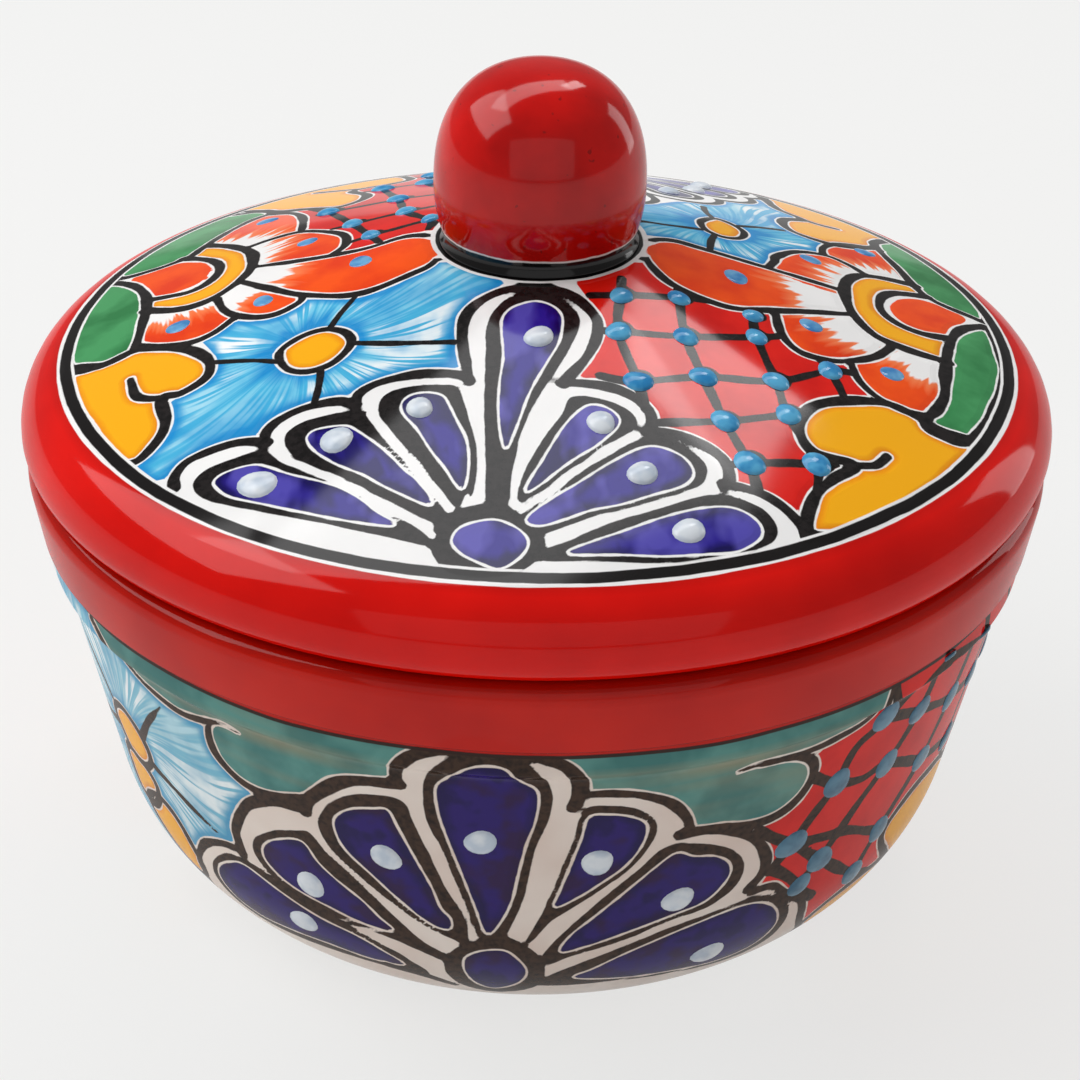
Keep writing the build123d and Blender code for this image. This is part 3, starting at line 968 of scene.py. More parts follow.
# The front fan's outer line: a scallop over each petal
lid_scallops = [
    [(-79.3, -80), (-79.7, -76.1), (-77.8, -72.2), (-73.3, -70), (-67.8, -68.8), (-63.3, -69.2),
     (-59.6, -70.6)],
    [(-60.2, -69.8), (-60, -66.7), (-57.8, -63.9), (-53.9, -61.7), (-48.9, -60.6), (-43.9, -60.8),
     (-40.3, -62.8)],
    [(-40.5, -62.4), (-40, -59.4), (-36.7, -56.9), (-31.7, -55.6), (-26.1, -55.2), (-20, -55.9),
     (-16.1, -57.2), (-15.1, -58.8)],
    [(-15.3, -58.6), (-15.9, -54.4), (-16.8, -48.9), (-17.3, -42.2), (-16.7, -37.2), (-14.4, -33.3),
     (-10.6, -30.3), (-6.1, -28.7), (-0.6, -28.2), (5, -29.2), (9.4, -32.2), (12.8, -36.7), (13.7, -40.6),
     (12.8, -46.1), (10.6, -51.7), (7.2, -57.2), (5.8, -59.8)],
    [(5, -59.6), (9.4, -59.3), (15, -59.7), (19.4, -61.1), (22.8, -63.4), (25, -66.7), (25.3, -70),
     (24.2, -72.4)],
    [(23.6, -72.4), (27.2, -71.9), (32.2, -72.8), (37.2, -75), (40.6, -77.8), (41.9, -81.1),
     (41.7, -84.4), (40.6, -86.3)],
    [(40.4, -85.4), (45.2, -85.8), (50, -87.2), (54.1, -90.3), (57, -94.2), (57.8, -97.4)],
]
for scallop in lid_scallops:
    top.stroke("scallops", scallop, 2.7)
top.join("ink", "scallops", 1.2)
fan_edge = np.vstack(lid_scallops + [[(64, -100), (48, -112), (0, -120), (-48, -110), (-84, -84)]])
top.patch("fan", fan_edge, smooth=False)
top.around("fan", "back", 0)
top.drop("fan_ink", "back")

# The skies, left of the front fan and behind on the right, with a small sun in each
top.patch("sky", [
    (-80, -24), (-76.5, -31), (-76, -42), (-83, -46), (-85, -52), (-84, -60), (-90, -68), (-85, -76),
    (-79, -76), (-72, -68.5), (-61, -69), (-58, -63), (-45, -60), (-38, -60), (-30, -54.5), (-15, -57),
    (-18.5, -48), (-18.5, -39), (-15, -31), (-8, -27), (-13, -21), (-18.5, -17), (-22.5, -11.5),
    (-30, -17.6), (-42, -21), (-50, -18.5), (-57, -16.5), (-62, -21), (-70, -19), (-74, -20),
], smooth=False)
top.patch("sky", [
    (20, 15), (23, 8), (26, 2), (33, 5), (44, 2.6), (57, 3), (59, 13.8), (65, 22.5), (72, 27), (73, 34),
    (78, 43), (84, 48), (74.6, 39.8), (66.9, 41.7), (63.6, 48.5), (65, 57), (69.8, 62.9), (65.5, 71.5),
    (63, 79), (62, 92), (60, 103), (52, 108), (56, 96), (52, 84), (50, 72), (44, 56), (36, 48), (30, 38),
    (18, 32), (8, 28), (12, 21),
], smooth=False)
top.without("sky", "fan", -1.0)
suns = [
    [(-59.6, -38.6), (-55, -34.2), (-49.4, -33.3), (-44.6, -36.2), (-42.8, -41), (-46.4, -46.6),
     (-52, -48.4), (-57.4, -45.6)],
    [(45.4, 34.5), (49.6, 31.6), (51.8, 26.4), (50, 19.8), (45.4, 17.0), (41.4, 19.6), (40.5, 25.6),
     (42.4, 31)],
]
for sun in suns:
    top.outlined("yellow", sun, 2.0)
for ray in (
    [(-48.4, -33.6), (-46.4, -28.6), (-42.8, -21.6)],
    [(-59, -42.6), (-66, -39.4), (-76, -36)],
    [(-43.4, -40.6), (-32.7, -43.6), (-18.9, -45.7)],
    [(-49.4, -48), (-49.2, -53), (-49.9, -60)],
    [(44.4, 33.6), (42.8, 40), (42.6, 48)],
    [(50.4, 32), (56, 36.6), (63, 41)],
    [(40.4, 18.6), (33, 15), (25.6, 12)],
    [(43.8, 17.6), (42.4, 11), (41.6, 3)],
):
    top.stroke("line", ray, 1.7)

# The lattices, right of the front fan and behind on the left, ruled by hand over red
top.patch("red", [
    (8, -25), (12, -21), (19, -15), (24, -10), (28.5, -17), (36, -22), (46, -24), (56.4, -20.4),
    (56.9, -29.4), (60.9, -35), (68, -35.4), (73, -33.4), (74.5, -40.6), (79.4, -46), (68, -51),
    (60.9, -56.7), (58.5, -64.7), (61.7, -71), (70.5, -72), (64.9, -78.3), (60, -85.5), (58.9, -95),
    (55.3, -88.6), (42, -85.6), (37, -74.6), (26, -71), (20, -61.5), (6, -59), (14.6, -46), (14.8, -37),
], smooth=False)
top.patch("red", [
    (-26, 4), (-34, 4), (-49, 3.8), (-47.8, 8.3), (-48.5, 16.4), (-53.6, 23.8), (-60.6, 30.4), (-62, 45),
    (-66, 57), (-60, 58.6), (-52, 52), (-47, 57), (-47.4, 66), (-52, 76), (-49, 80.4), (-38, 86),
    (-36, 94), (-42, 108), (-30, 114), (-24, 108), (-26, 94), (-22, 80), (-14, 66), (-8, 52), (4, 36),
    (-6, 23), (-16, 17), (-22, 10),
], smooth=False)
top.without("red", "fan", -1.0)
for line in (
    [(12, -30), (19, -28.4), (32.7, -25), (41, -23)],
    [(14, -41.6), (19, -41.4), (33.8, -39.4), (50.7, -33.6), (57, -30)],
    [(14, -56.6), (22.5, -57.2), (37.5, -52.5), (54.3, -48.9), (67.6, -39.6), (74, -38)],
    [(26, -69.6), (41.7, -66), (56.3, -59.8), (60, -58)],
    [(42, -79.6), (46.5, -78), (61.7, -74.3), (66, -73)],
    [(19.4, -22), (19, -29), (18.3, -41.4), (22.5, -57.2), (24, -66)],
    [(32.7, -21), (32.9, -25.4), (33.8, -39.4), (37.5, -52.5), (41.7, -66), (46.5, -78), (48, -86)],
    [(50.2, -22), (50.4, -25), (50.7, -33.6), (54.3, -48.9), (56.3, -59.8), (61.7, -74.3), (61, -84)],
    [(64, -34.6), (67.6, -39.6), (70.4, -50)],
    [(-56, 46), (-46, 45.4), (-36.7, 45.6), (-20, 44), (-6, 40)],
    [(-52, 25), (-47.1, 24.9), (-33.7, 26), (-20, 26), (-8, 24)],
    [(-47, 9.6), (-41.6, 10.5), (-26.7, 12.4), (-22, 13)],
    [(-50, 71), (-42.4, 71.7), (-30.8, 73.9), (-18, 74)],
    [(-40, 95), (-30, 96), (-24, 97)],
    [(-62, 60), (-55, 46), (-47.1, 25), (-41.6, 10.5), (-39, 4)],
    [(-42, 82), (-42.4, 71.7), (-36.7, 45.6), (-33.7, 26), (-27, 12), (-27, 5)],
    [(-32, 108), (-30, 96), (-30.8, 73.9), (-22, 46), (-19, 27)],
):
    top.stroke("line", line, 2.3)

# A drop of enamel goes where the lines cross, over a blot of ink set a little to one side, so that a
# dark crescent shows beside each drop: partly ink, partly a painted shadow of the drop
lid_lattice_drops = [
    (19.2, -28.6, 5.8), (32.8, -25.2, 5.6), (50.4, -25, 5.2), (50.7, -33.6, 5.8), (33.9, -39.5, 6.2),
    (18.4, -41.4, 6.4), (67.6, -39.6, 6.6), (54.3, -48.9, 6.4), (37.5, -52.5, 6.6), (22.6, -57.2, 6.8),
    (56.4, -59.8, 6.6), (41.8, -66, 6.8), (61.8, -74.4, 7.2), (46.6, -78, 7.4), (-41.6, 10.8, 5.4),
    (-27, 12.6, 5.0), (-47.1, 25, 6.0), (-33.7, 26.2, 6.0), (-55, 46, 6.4), (-36.8, 46, 6.6),
    (-22, 45.6, 6.4), (-42.4, 71.7, 6.8), (-30.8, 74, 6.8), (-20, 27, 5.6), (-30, 96, 6.6),
]
# Each blot sits off its drop's middle: a painted shadow as well as ink
for x, y, size in lid_lattice_drops:
    top.stroke("line", [(x, y), (x + 0.9, y + 1.0)], size - 0.6)

# Yellow hearts, each a leaf with two lobes, against the ring beside both fans
hearts = [
    [(81, -46.6), (68, -51), (61, -56.7), (58.6, -64.7), (61.7, -71), (70.5, -72), (65, -78.3),
     (60.2, -85.5), (59, -96), (72, -92), (86, -78), (97, -62), (101, -53), (92, -51)],
    [(-112, -20.6), (-104, -23.2), (-97, -20.4), (-90, -22.6), (-81.8, -28), (-76.6, -35), (-76.4, -41.6),
     (-81.8, -45.8), (-86.4, -46), (-84.2, -55.7), (-85.5, -62.4), (-90, -68), (-96, -64), (-104, -48),
     (-110, -34)],
    [(-84, 78), (-75.6, 71.6), (-70, 64), (-61.4, 58), (-53, 51.4), (-47, 56), (-46.4, 65), (-51, 76),
     (-49, 80.4), (-40, 84), (-36, 92), (-41, 108), (-50, 106), (-70, 94)],
    [(96, 66), (94, 64.8), (89, 57), (87.6, 50), (77, 40.6), (67, 41.8), (63.7, 48.6), (65, 57),
     (70, 62.8), (69.6, 65.8), (65, 71.5), (63.2, 80), (62, 92), (58, 104), (70, 96), (84, 84)],
]
for heart in hearts:
    top.outlined("yellow", heart, 2.8, smooth=False)
for hook in (
    [(71, -72), (75.4, -70.4), (78.4, -66.4)],
    [(-86.8, -45.8), (-92.6, -42.6), (-95.4, -34)],
    [(-62, 88.6), (-56, 84.6), (-49, 80.6)],
    [(69.8, 64.6), (74.6, 62.2), (79.6, 62.6)],
):
    top.stroke("ink", hook, 2.2)

# Green leaves hold each flower against the ring
leaves = [
    [(94.4, 64.6), (89.2, 57), (90, 46.5), (92.9, 35), (95.8, 22.5), (99.8, 16.6), (108, 14), (113, 14),
     (113, 28), (108, 44), (102, 56)],
    [(113, 8), (109.7, 8), (103.5, 0.4), (99.6, -11.2), (96.7, -25.6), (94.8, -38), (89, -50),
     (92, -53.4), (99, -52.6), (108, -34), (113, -14)],
    [(-112, 26), (-109.7, 29.6), (-103, 22.3), (-98.2, 11.3), (-96.6, 0), (-96.4, -18.2), (-97.4, -20.6),
     (-104, -23.2), (-112, -20.4), (-115, 0)],
    [(-83.9, 78.4), (-75.6, 71.6), (-72, 64.4), (-76.5, 60), (-82.4, 50.3), (-87.6, 39.3), (-90.5, 34),
     (-99.4, 31.2), (-108.9, 33.4), (-106, 48), (-97, 64)],
]
for leaf in leaves:
    top.outlined("green", leaf, 2.7, smooth=False)

# The flowers: orange petals feathered out of white, a yellow half ring, and an orange heart. Each
# petal's number is how far from the heart its orange starts.
feather = np.full(len(top.flat), feathered)
for start, petal in (
    (41, [(80, 3.2), (54, 3.4), (39.5, 3.6), (32.3, 3.4), (26.5, -1.5), (25, -9.2), (28.5, -17),
          (34.2, -21.3), (44.8, -23.7), (55.4, -19.8), (65, -15), (78, -8)]),
    (28, [(76, 1), (56, 3.2), (58, 9), (59.2, 13.8), (65, 22.5), (72.7, 26.8), (78.5, 24.4), (84, 16)]),
    (29, [(80, 12), (76, 24.6), (72.4, 27), (72.9, 34), (77.5, 42.4), (84.2, 47.5), (90.4, 50), (93, 35),
          (96, 20)]),
    (41, [(78, -8), (65, -14.6), (56.1, -19.8), (56.9, -29.4), (60.9, -35), (68, -35.2), (74.5, -32),
          (80.2, -27), (84.2, -20.6), (86, -8)]),
    (34, [(84, -14), (80.4, -27.4), (73.2, -33), (74.5, -40.6), (79.4, -46), (86.6, -47.7), (92.2, -45),
          (95.6, -35), (98, -21.4), (97, -8)]),
    (28, [(-76, 8), (-70, 24), (-74.4, 26), (-72, 30), (-60.8, 31.6), (-61.7, 45.9), (-65.4, 56.2),
          (-72.4, 62.4), (-76.5, 60), (-82.4, 50.3), (-88, 39.3), (-90, 34)]),
    (29, [(-76, 8), (-75, 27.5), (-68.4, 30), (-61, 30.2), (-53.6, 23.8), (-48.5, 16.4), (-47.7, 8.3),
          (-50.6, 4.2), (-60, 6)]),
    (38, [(-84, 12), (-68.4, 9.8), (-59.5, 5.7), (-50.7, 3.5), (-41.8, 2.2), (-33, 3.5), (-26.6, 0.2),
          (-22.7, -5), (-24.5, -13.8), (-30, -17.5), (-42.6, -21.2), (-55.9, -15.3), (-65.4, -6.4),
          (-73, 2)]),
    (34, [(-80, 6), (-78, -5), (-75.8, -11.6), (-72, -16.8), (-66.9, -20.4), (-61.7, -21.2),
          (-56.4, -17.6), (-56.6, -14.5), (-65.4, -6.4)]),
    (27, [(-88, 6), (-98, -4), (-97.4, -18), (-90.5, -21.6), (-83, -24.2), (-77.2, -22.8), (-72.6, -18),
          (-76, -11.6), (-78, -5), (-84, 0)]),
):
    top.patch("petal", petal)
    feather[top.paint("petal") > -0.5] = start
    top.join("orange", "petal", 0.0)
for mark in (
    [(76, 3.2), (54, 3.2), (39.5, 3.4), (32.3, 3.2), (26.5, -1.5), (25, -9.2), (28.5, -17), (34.2, -21.3),
     (44.8, -23.7), (55.4, -19.8), (65, -15), (77, -9)],
    [(56, 3.2), (58, 9), (59.2, 13.8), (65, 22.5), (72.7, 26.8), (78.5, 24.4), (83, 19.4)],
    [(72.2, 27), (72.9, 34), (77.5, 42.4), (84.2, 47.5), (90, 50)],
    [(56.1, -19.8), (56.9, -29.4), (60.9, -35), (68, -35.2), (74.5, -32), (80.2, -27), (84.2, -20.6)],
    [(72.9, -33), (74.5, -40.6), (79.4, -46), (86.6, -47.7), (92.2, -45), (95.6, -35), (98, -21.4)],
    [(-72.4, 62.4), (-65.4, 56.2), (-61.7, 45.9), (-60.6, 31.6)],
    [(-75, 27.5), (-68.4, 30), (-61, 30.2), (-53.6, 23.8), (-48.5, 16.4), (-47.7, 8.3), (-50.6, 4.2)],
    [(-70.4, 10), (-59.5, 5.9), (-50.7, 3.5), (-41.8, 2.2), (-33, 3.5), (-26.6, 0.2), (-22.7, -5),
     (-24.5, -13.8), (-30, -17.5), (-42.6, -21.2), (-55.9, -15.3), (-65.4, -6.4), (-72.4, 1.6)],
    [(-78, -4.6), (-75.8, -11.6), (-72, -16.8), (-66.9, -20.4), (-61.7, -21.2), (-56.6, -18.2),
     (-56.6, -14.5)],
    [(-96.6, -17.6), (-90.5, -21.4), (-83, -24.2), (-77.2, -22.8), (-72.6, -18)],
):
    top.stroke("ink", mark, 2.2)
half_rings = [
    [(96, 24.4), (86.2, 21.6), (80.2, 17.7), (76.3, 10), (75, 0.4), (76.1, -9.2), (80.4, -17),
     (88, -19.4), (98.6, -19.4), (100.6, -5.6), (93.8, -8), (87.1, -6.6), (83.8, -1.5), (84.7, 6.2),
     (89, 12.9), (98.4, 18.2)],
    [(-85.6, 40.4), (-78.7, 32.8), (-72.7, 22.3), (-71.2, 11.3), (-73.5, 3.2), (-78.7, -2.9),
     (-84.6, -4.8), (-90.5, -3), (-97, 1.4), (-96, 7.4), (-86.8, 5.2), (-81.7, 8.3), (-79.8, 15),
     (-81.7, 22.3), (-86, 28.4), (-91.8, 34)],
]
cores = [
    [(96.4, 14.4), (90, 9.6), (86.6, 2.4), (87.6, -3.6), (92, -6.4), (98.6, -5), (101.6, 0.4),
     (107, 10.4), (103, 13.6)],
    [(-104.4, 28), (-97, 31), (-90.6, 29.8), (-84.4, 23), (-82.4, 16.4), (-84.4, 9.6), (-90.5, 7.6),
     (-96, 9.4), (-97.6, 14)],
]
for half_ring, core in zip(half_rings, cores):
    top.patch("half_ring", half_ring)
    top.patch("core", core)
for name in ("orange", "ink"):
    top.without(name, "half_ring")
top.without("orange", "core")
top.band("yellow", "half_ring", "core", 0.0)
top.band("orange", "core", "half_ring", 0.0)
for half_ring in half_rings:
    top.stroke("ink", half_ring[:9], 3.0)
    top.stroke("ink", half_ring[9:], 2.7)
for leaf in leaves:
    top.stroke("ink", leaf, 2.7, closed=True)
in_core = top.paint("core") > -2.5
top.drop("half_ring", "core")
for name in ("sky", "red"):
    top.without(name, "yellow")
    top.without(name, "orange")
top.without("orange", "green")
top.only_on("line", ("red", "sky"), 0.6)
for name in ("cobalt", "red", "sky", "yellow", "orange", "green"):
    top.without(name, "ink", 0.5)

# The lid has no teal, but the glaze reads it
top.paint("teal")
top.give(lid)

# Where the brush went out from: the two suns, then the hearts of the two flowers
middles = np.array([(-51.4, -40.8), (45.6, 25.4), (100.0, 3.0), (-94.0, 18.0)])
offsets = np.where(on_crown[None, :, None], wander(top.flat) - middles[:, None], 1.0)
lengths = np.hypot(offsets[..., 0], offsets[..., 1])
on_flower = top.paint("orange") > -1.5
which = np.where(on_flower, 2 + lengths[2:].argmin(0), lengths[:2].argmin(0))
brushed(lid, offsets, which)
keep(lid, "feather", np.where(in_core, covered, feather))
keep(lid, "under", lid_ring < first_roll)

glaze = Glaze("lid_glaze")
point = glaze.point()
x, y, z = (glaze.part(point, which) * 1000.0 for which in range(3))
radius = (x * x + y * y).made("SQRT")
cloud = glaze.cloud(point, 40.0)
ground = glaze.mottled(cloud, (242, 241, 240), (250, 249, 248))
paint, height, marks = painted(
    glaze, ground, glaze.vector("brush"), point,
    (colour(14, 12, 12), colour(34, 30, 30)),
    (colour(12, 2, 84), colour(40, 26, 142), colour(90, 82, 184)),
    (colour(6, 136, 208), colour(72, 180, 224), colour(122, 206, 236)),
)
waver = (glaze.cloud(point, 14.0, 2.0) - 0.5) * 2.4 + (glaze.cloud(point, 120.0) - 0.5) * 0.5

# Radii of the black ring, the black round the knob, the red of the rim and the bare flange, and the
# height up to which the flange is bare
ring_inner, ring_outer = 113.6, 116.4
knob_ring = 25.1
red_start = 117.3
flange_root, bare_top = 110.4, 120.4
from_ring = radius + waver
ring = (from_ring - ring_inner).edge() * (ring_outer - from_ring).edge()
paint = glaze.over(paint, (from_ring - ring_inner + 0.7).edge(), ground)
paint = glaze.over(paint, ring, colour(20, 17, 17))
uneven = (glaze.cloud(point, 120.0) - 0.5) * 0.8
paint = glaze.over(paint, (knob_ring + 1.2 - radius + uneven).edge(), ground)
paint = glaze.over(paint, (knob_ring - radius + uneven).edge(), colour(16, 13, 13))
beyond = (radius + (glaze.cloud(point, 90.0) - 0.5) * 0.5 - red_start).edge()
rim_red = glaze.mottled(cloud, (210, 8, 2), (230, 16, 6))
rim_red = glaze.over(rim_red, (radius - red_start + 0.1).between(2.4, 0.0) * 0.3, colour(130, 6, 2))
paint = glaze.over(paint, beyond, rim_red)
under = glaze.number("under").made("GREATER_THAN", 0.5)
on_flange = (radius - flange_root).edge()
below = glaze.over(glaze.lining(cloud), on_flange * (bare_top - z).edge(), glaze.clay(point))
paint = glaze.over(paint, under, below)
swell = glaze.cloud(point, 26.0, 1.0)
height = height * (1 - beyond) * (1 - under) + cloud * 0.8 + glaze.thrown(point) * 0.5 + swell * 3.2
bare = under * on_flange
coat = (1 - bare) * (0.6 - marks * 0.1 - beyond * 0.12)
lid.data.materials.append(glaze.fired(paint, 0.4 + bare * 0.5, height, paint_relief, coat, 0.08))
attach(lid, "lid")
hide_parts("lid")


# Knob
# A tall ball turned by itself, glazed plain red and luted to the crown; its coved foot is painted
# black, and just above the cove the red is painted darker and brownish, as shade and a reflection of the lid.

# Above its equator the ball is a superellipse: the radius as a share of the equator's and the height
# above it as a share of the ball's, each to the power of the roundness, add up to 1
equator = (25.5, 180.1)
ball_height = 29.5
roundness = 2.4
neck = (23.5, 168.7)
foot_edge = (24.3, 166.0)
ball_turn = np.linspace(0, np.pi / 2, 26)[:, None]
ball_radii = equator[0] * np.cos(ball_turn) ** (2 / roundness)
ball_radii[-1] = 0
knob_section = joined(
    [(0, knob_seat[1]), (14, knob_seat[1]), (24.2, knob_seat[1]), foot_edge],
    arc(neck, (0, -1), foot_edge, 7)[::-1],
    arc(equator, (0, -1), neck, 8)[::-1],
    np.hstack([ball_radii, equator[1] + ball_height * np.sin(ball_turn) ** (2 / roundness)]),
)
knob = turned("red_knob", knob_section, 160)[0]

glaze = Glaze("knob_glaze")
point = glaze.point()
z = glaze.part(point, 2) * 1000.0
cloud = glaze.cloud(point, 60.0, 3.0)
red = glaze.mottled(cloud, (178, 2, 0), (208, 10, 4), 0.3, 0.65)

# The heights up to which the red is painted darker, as shade and reflection, and the foot is black,
# and the metres by which the hand that turned the ball left it uneven
foot_shade_top = 172.0
black_top = 169.5
ball_unevenness = 0.0042
# Painted shade and reflection: the red darkens and browns towards the cove
red = glaze.over(red, (z - foot_shade_top).between(5.0, 0.0) * 0.3, colour(110, 20, 14))
speck = glaze.cloud(point, 420.0, 1.0).between(0.72, 0.76)
red = glaze.over(red, speck * 0.6, colour(110, 10, 8))
black = black_top - z + (glaze.cloud(point, 150.0) - 0.5)
paint = glaze.over(red, (black + 0.5).edge(0.3), colour(226, 216, 212))
paint = glaze.over(paint, black.edge(0.3), colour(14, 12, 12))
swell = glaze.cloud(point, 34.0, 1.0)
knob.data.materials.append(glaze.fired(paint, 0.4, swell, ball_unevenness, 0.7, 0.1))
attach(knob, "lid")
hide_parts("knob")


# Enamel drops
# Thick opaque enamel set with a dropper on the petals and where the lattice lines cross, and left
# to stand up in low round beads.


def beads(name, seats, outward, across, sizes, height):
    """Low domes on a surface: at share p of its radius a bead stands height * (1 - p^2)^0.6 high.

    seats, outward and across are arrays of points and directions, one for each bead, in millimetres.
    """
    share = np.array([1.08, 1.0, 0.93, 0.8, 0.6, 0.35])
    turn = np.linspace(0, 2 * np.pi, 18, endpoint=False)
    upright = np.cross(outward, across)
    hand = np.random.default_rng(7).uniform(-1, 1, (len(seats), 3))
    lift = height * np.clip(1 - share**2, 0, 1) ** 0.6
    lift[:2] = (-0.45, -0.12)  # the two outer rings go into the clay
    bend = 1 + 0.07 * np.sin(2 * turn + 3 * hand[:, :1]) + 0.03 * np.sin(3 * turn + 5 * hand[:, 1:2])
    reach = sizes[:, None, None] / 2 * share[:, None] * bend[:, None, :]
    points = (
        seats[:, None, None]
        + (reach * np.cos(turn))[..., None] * across[:, None, None]
        + (reach * np.sin(turn))[..., None] * upright[:, None, None]
        + lift[:, None, None] * outward[:, None, None]
    )
    tips = seats + outward * height
    count, rings, around = points.shape[:3]
    here = np.arange(count * rings * around).reshape(count, rings, around)
    beside = np.roll(here, -1, axis=2)
    quads = np.stack([here[:, :-1], beside[:, :-1], beside[:, 1:], here[:, 1:]], -1).reshape(-1, 4)
    tip = np.repeat(here.size + np.arange(count)[:, None], around, axis=1)
    caps = np.stack([here[:, -1], beside[:, -1], tip], -1).reshape(-1, 3)
    floors = here[:, 0, ::-1]
    points = np.vstack([points.reshape(-1, 3), tips])
    return built(name, points, quads.tolist() + caps.tolist() + floors.tolist())


def on_lid(places):
    """Seats on the crown for beads given by x, y and size."""
    x, y, size = np.asarray(places, float).T
    radius = np.hypot(x, y)
    height = np.interp(radius, crown[:, 0], crown[:, 1])
    steep = np.interp(radius, crown[:, 0], -np.gradient(crown[:, 1], crown[:, 0]))
    lean = np.arctan(steep)
    out = np.stack([x / radius * np.sin(lean), y / radius * np.sin(lean), np.cos(lean)], -1)
    across = np.stack([-y / radius, x / radius, 0 * x], -1)
    return np.stack([x, y, height], -1), out, across, size


def on_bowl(places):
    """Seats on the wall, on both halves, for beads given by degrees from the front, height and size."""
    turn, height, size = np.asarray(places, float).T
    turn = np.radians(np.r_[turn, turn + 180])
    height, size = np.r_[height, height], np.r_[size, size]
    line = bowl_section[bowl_section[:, 1] < bevel_end[1]]
    line = line[np.argmax(line[:, 0] > foot_radius) :]
    radii, heights = line[: np.argmax(line[:, 1]) + 1].T
    radius = np.interp(height, heights, radii)
    flare = np.interp(height, heights, np.gradient(radii, heights))
    lean = np.arctan(flare)
    out = np.stack([np.sin(turn) * np.cos(lean), -np.cos(turn) * np.cos(lean), -np.sin(lean)], -1)
    across = np.stack([np.cos(turn), np.sin(turn), 0 * turn], -1)
    seats = np.stack([radius * np.sin(turn), -radius * np.cos(turn), height], -1)
    return seats, out, across, size


def enamel(name, pale, deep):
    """Thick opaque enamel, mottled from a pale shade to a deep one."""
    glaze = Glaze(name)
    cloud = glaze.cloud(glaze.point(), 220.0, 2.0)
    return glaze.fired(glaze.mottled(cloud, deep, pale, 0.35, 0.6), 0.3, cloud, 0.0001, 0.7)


lid_white = [
    (-60.6, -83.4, 8.8), (-44, -73.2, 7.8), (-26, -66, 6.4), (0.2, -45, 7.0), (14.1, -71, 6.8),
    (23, -85, 7.0), (32.6, -100, 7.2), (45, 94.6, 6.8), (42, 79, 6.8), (34.4, 65, 6.0), (16.2, 48, 6.6),
    (-2, 65, 6.2), (-9.6, 79.4, 6.6), (-14, 96, 6.6),
]
lid_petals = [
    (47.4, -7.9, 6.6), (64.6, -21.8, 5.8), (83, -33.4, 6.0), (68.2, 19.2, 5.8), (84.8, 41.6, 6.0),
    (-43, -5, 6.0), (-66, -12.8, 5.4), (-86.6, -14.2, 6.2), (-58, 18.6, 5.4), (-71.8, 52.9, 6.0),
]
bowl_white = [
    (-29.7, 30.8, 7.6), (-27.2, 45.8, 7.8), (-16.5, 62.1, 7.6), (-5.5, 71, 7.6), (7.4, 64.6, 7.8),
    (17.5, 48.9, 7.8), (23.4, 25.6, 8.2),
]
bowl_blue = bowl_lattice_drops + [(78.4, 46, 6.2), (81.8, 62, 6.6), (90, 71, 7.0), (98.2, 62, 6.6),
                                  (101.6, 46, 6.2)]

white_enamel = enamel("white_enamel", (226, 232, 238), (196, 208, 222))
blue_enamel = enamel("blue_enamel", (92, 176, 218), (44, 132, 190))
dull_enamel = enamel("dull_blue_enamel", (108, 170, 214), (62, 130, 190))
grey_enamel = enamel("grey_blue_enamel", (88, 132, 156), (58, 102, 128))
for name, seats, height, material, body, slot in (
    ("lid_white_beads", on_lid(lid_white), 1.3, white_enamel, "lid", "lid_glaze"),
    ("lid_blue_beads", on_lid(lid_lattice_drops), 1.1, blue_enamel, "lid", "lid_glaze"),
    ("lid_petal_beads", on_lid(lid_petals), 0.4, dull_enamel, "lid", "lid_glaze"),
    ("bowl_white_beads", on_bowl(bowl_white), 1.1, white_enamel, "bowl", "bowl_glaze"),
    ("bowl_blue_beads", on_bowl(bowl_blue), 0.6, grey_enamel, "bowl", "bowl_glaze"),
):
    piece = beads(name, *seats, height)
    piece.data.materials.append(material)
    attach(piece, body)


# Floor and light
# A plain pale floor that keeps the shadow. Two soft lights stand overhead, a wide one a little
# behind and a small bright one that the glaze mirrors at the front right. A window-like light comes
# from the left, a very wide one from the front, and a narrow one from the right.
floor_reach = 20000
corners = np.array([(-1, -1, 0), (1, -1, 0), (1, 1, 0), (-1, 1, 0)]) * floor_reach
floor = built("floor", corners, [(0, 1, 2, 3)])
paper = Glaze("pale_paper")

# Where the camera sees the floor, straight or mirrored, most of it is an even brightness, so that the
# shadow stays pale
camera_ray, glossy_ray, transmission_ray = 0, 3, 6
seen = paper.node("ShaderNodeLightPath", output=camera_ray)
for ray in (glossy_ray, transmission_ray):
    seen = seen + paper.node("ShaderNodeLightPath", output=ray)
evened = 0.8
sockets = {"Base Color": colour(246, 246, 245), "Roughness": 0.9, "Specular IOR Level": 0.1}
sheet = paper.node("ShaderNodeBsdfPrincipled", sockets=sockets)
bright = paper.node("ShaderNodeEmission", sockets={"Color": colour(242, 242, 241), "Strength": 1.0})
mixed = paper.node("ShaderNodeMixShader", sockets={0: seen * evened, 1: sheet, 2: bright})
paper.node("ShaderNodeOutputMaterial", sockets={"Surface": mixed})
floor.data.materials.append(paper.material)

world = bpy.data.worlds.new("studio")
world.use_nodes = True
world.node_tree.nodes["Background"].inputs["Color"].default_value = (1, 1, 1, 1)
world.node_tree.nodes["Background"].inputs["Strength"].default_value = 0.27
bpy.context.scene.world = world


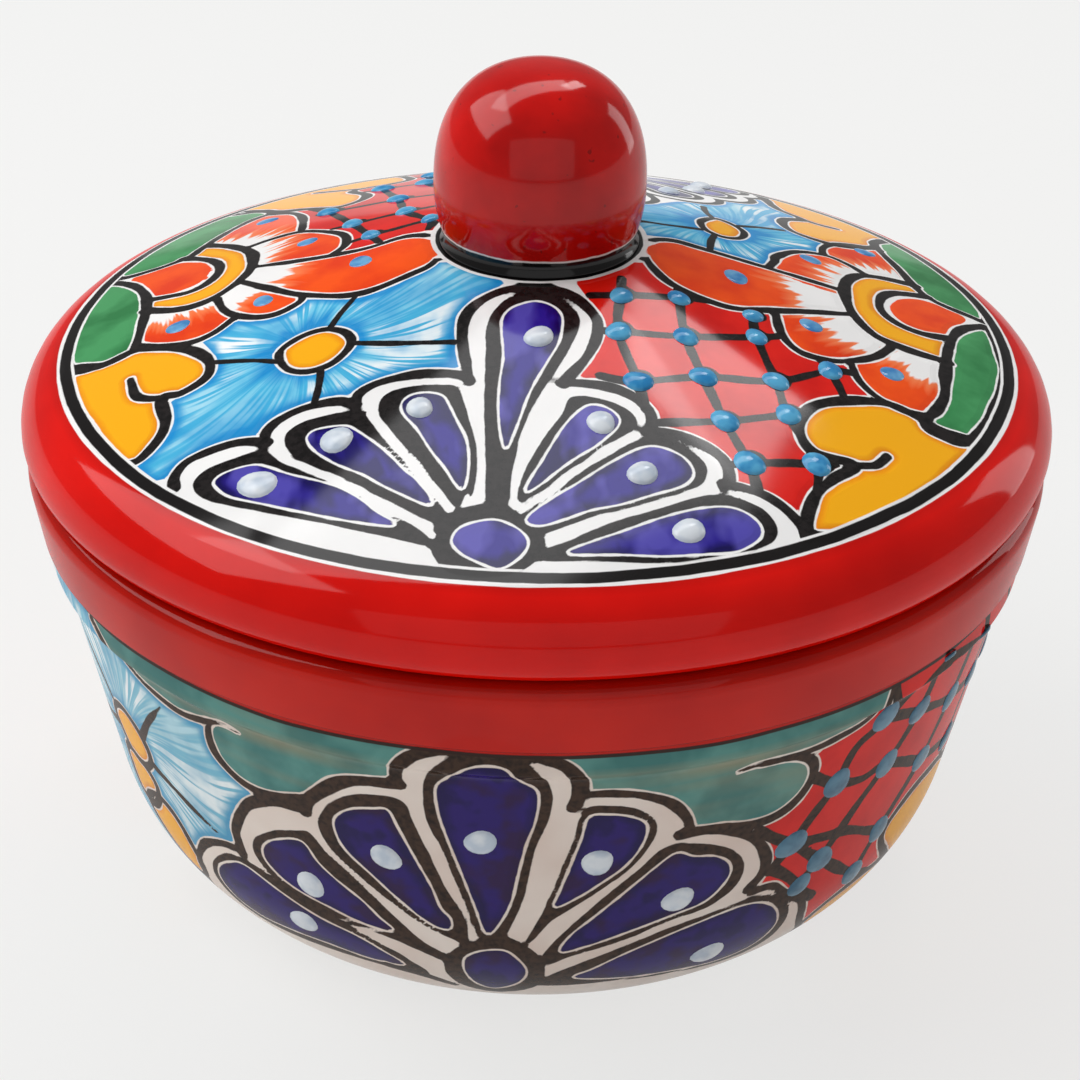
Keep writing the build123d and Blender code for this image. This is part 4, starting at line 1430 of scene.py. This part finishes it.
def softbox(name, place, target, width, height, watts):
    """A flat rectangular light at place that faces target, in metres and watts."""
    lamp = bpy.data.lights.new(name, "AREA")
    lamp.shape = "RECTANGLE"
    lamp.size, lamp.size_y, lamp.energy = width, height, watts
    light = bpy.data.objects.new(name, lamp)
    ahead = np.array(target, float) - place
    ahead /= np.linalg.norm(ahead)
    side = np.cross(ahead, (0, 0, 1))
    side /= np.linalg.norm(side)
    turn = np.column_stack([side, np.cross(side, ahead), -ahead])
    light.matrix_world = Matrix.Translation(place) @ Matrix(turn.tolist()).to_4x4()
    bpy.context.scene.collection.objects.link(light)


softbox("overhead", (-0.3, 0.5, 1.5), (0, 0, 0.12), 1.7, 0.5, 9.0)
softbox("skylight", (0.57, 1.1, 1.59), (0, 0, 0.12), 0.3, 0.5, 3.0)
softbox("window", (-1.05, 0.12, 1.2), (0, 0, 0.16), 1.4, 0.9, 12.0)
softbox("front", (0.1, -3.0, 1.4), (0, 0, 0.08), 4.6, 2.4, 15.0)
softbox("side", (1.3, 0.75, 0.5), (0, 0, 0.15), 0.4, 0.9, 3.0)


# Camera
# The photograph's own view, from the front and above. The focal length is 2500 pixels of a photograph
# 1080 pixels wide, and the camera is turned a little aside and leans a little.
focal_pixels, photo_pixels = 2500, 1080
camera_data = bpy.data.cameras.new("camera")
camera_data.sensor_width = 36
camera_data.lens = camera_data.sensor_width * focal_pixels / photo_pixels
camera = bpy.data.objects.new("camera", camera_data)
spot, target = np.array([0, -0.5604, 0.4036]), np.array([0, 0, 0.08164])
look = target - spot
look /= np.linalg.norm(look)
side, up = np.array([1, 0, 0]), np.cross((1, 0, 0), look)
aside, lean = np.radians([0.11, 0.79])
look, side = np.cos(aside) * look + np.sin(aside) * side, np.cos(aside) * side - np.sin(aside) * look
side, up = np.cos(lean) * side + np.sin(lean) * up, np.cos(lean) * up - np.sin(lean) * side
turn = Matrix(np.column_stack([side, up, -look]).tolist()).to_4x4()
camera.matrix_world = Matrix.Translation(spot) @ turn
bpy.context.scene.collection.objects.link(camera)
bpy.context.scene.camera = camera
bpy.context.scene.view_settings.view_transform = "Standard"
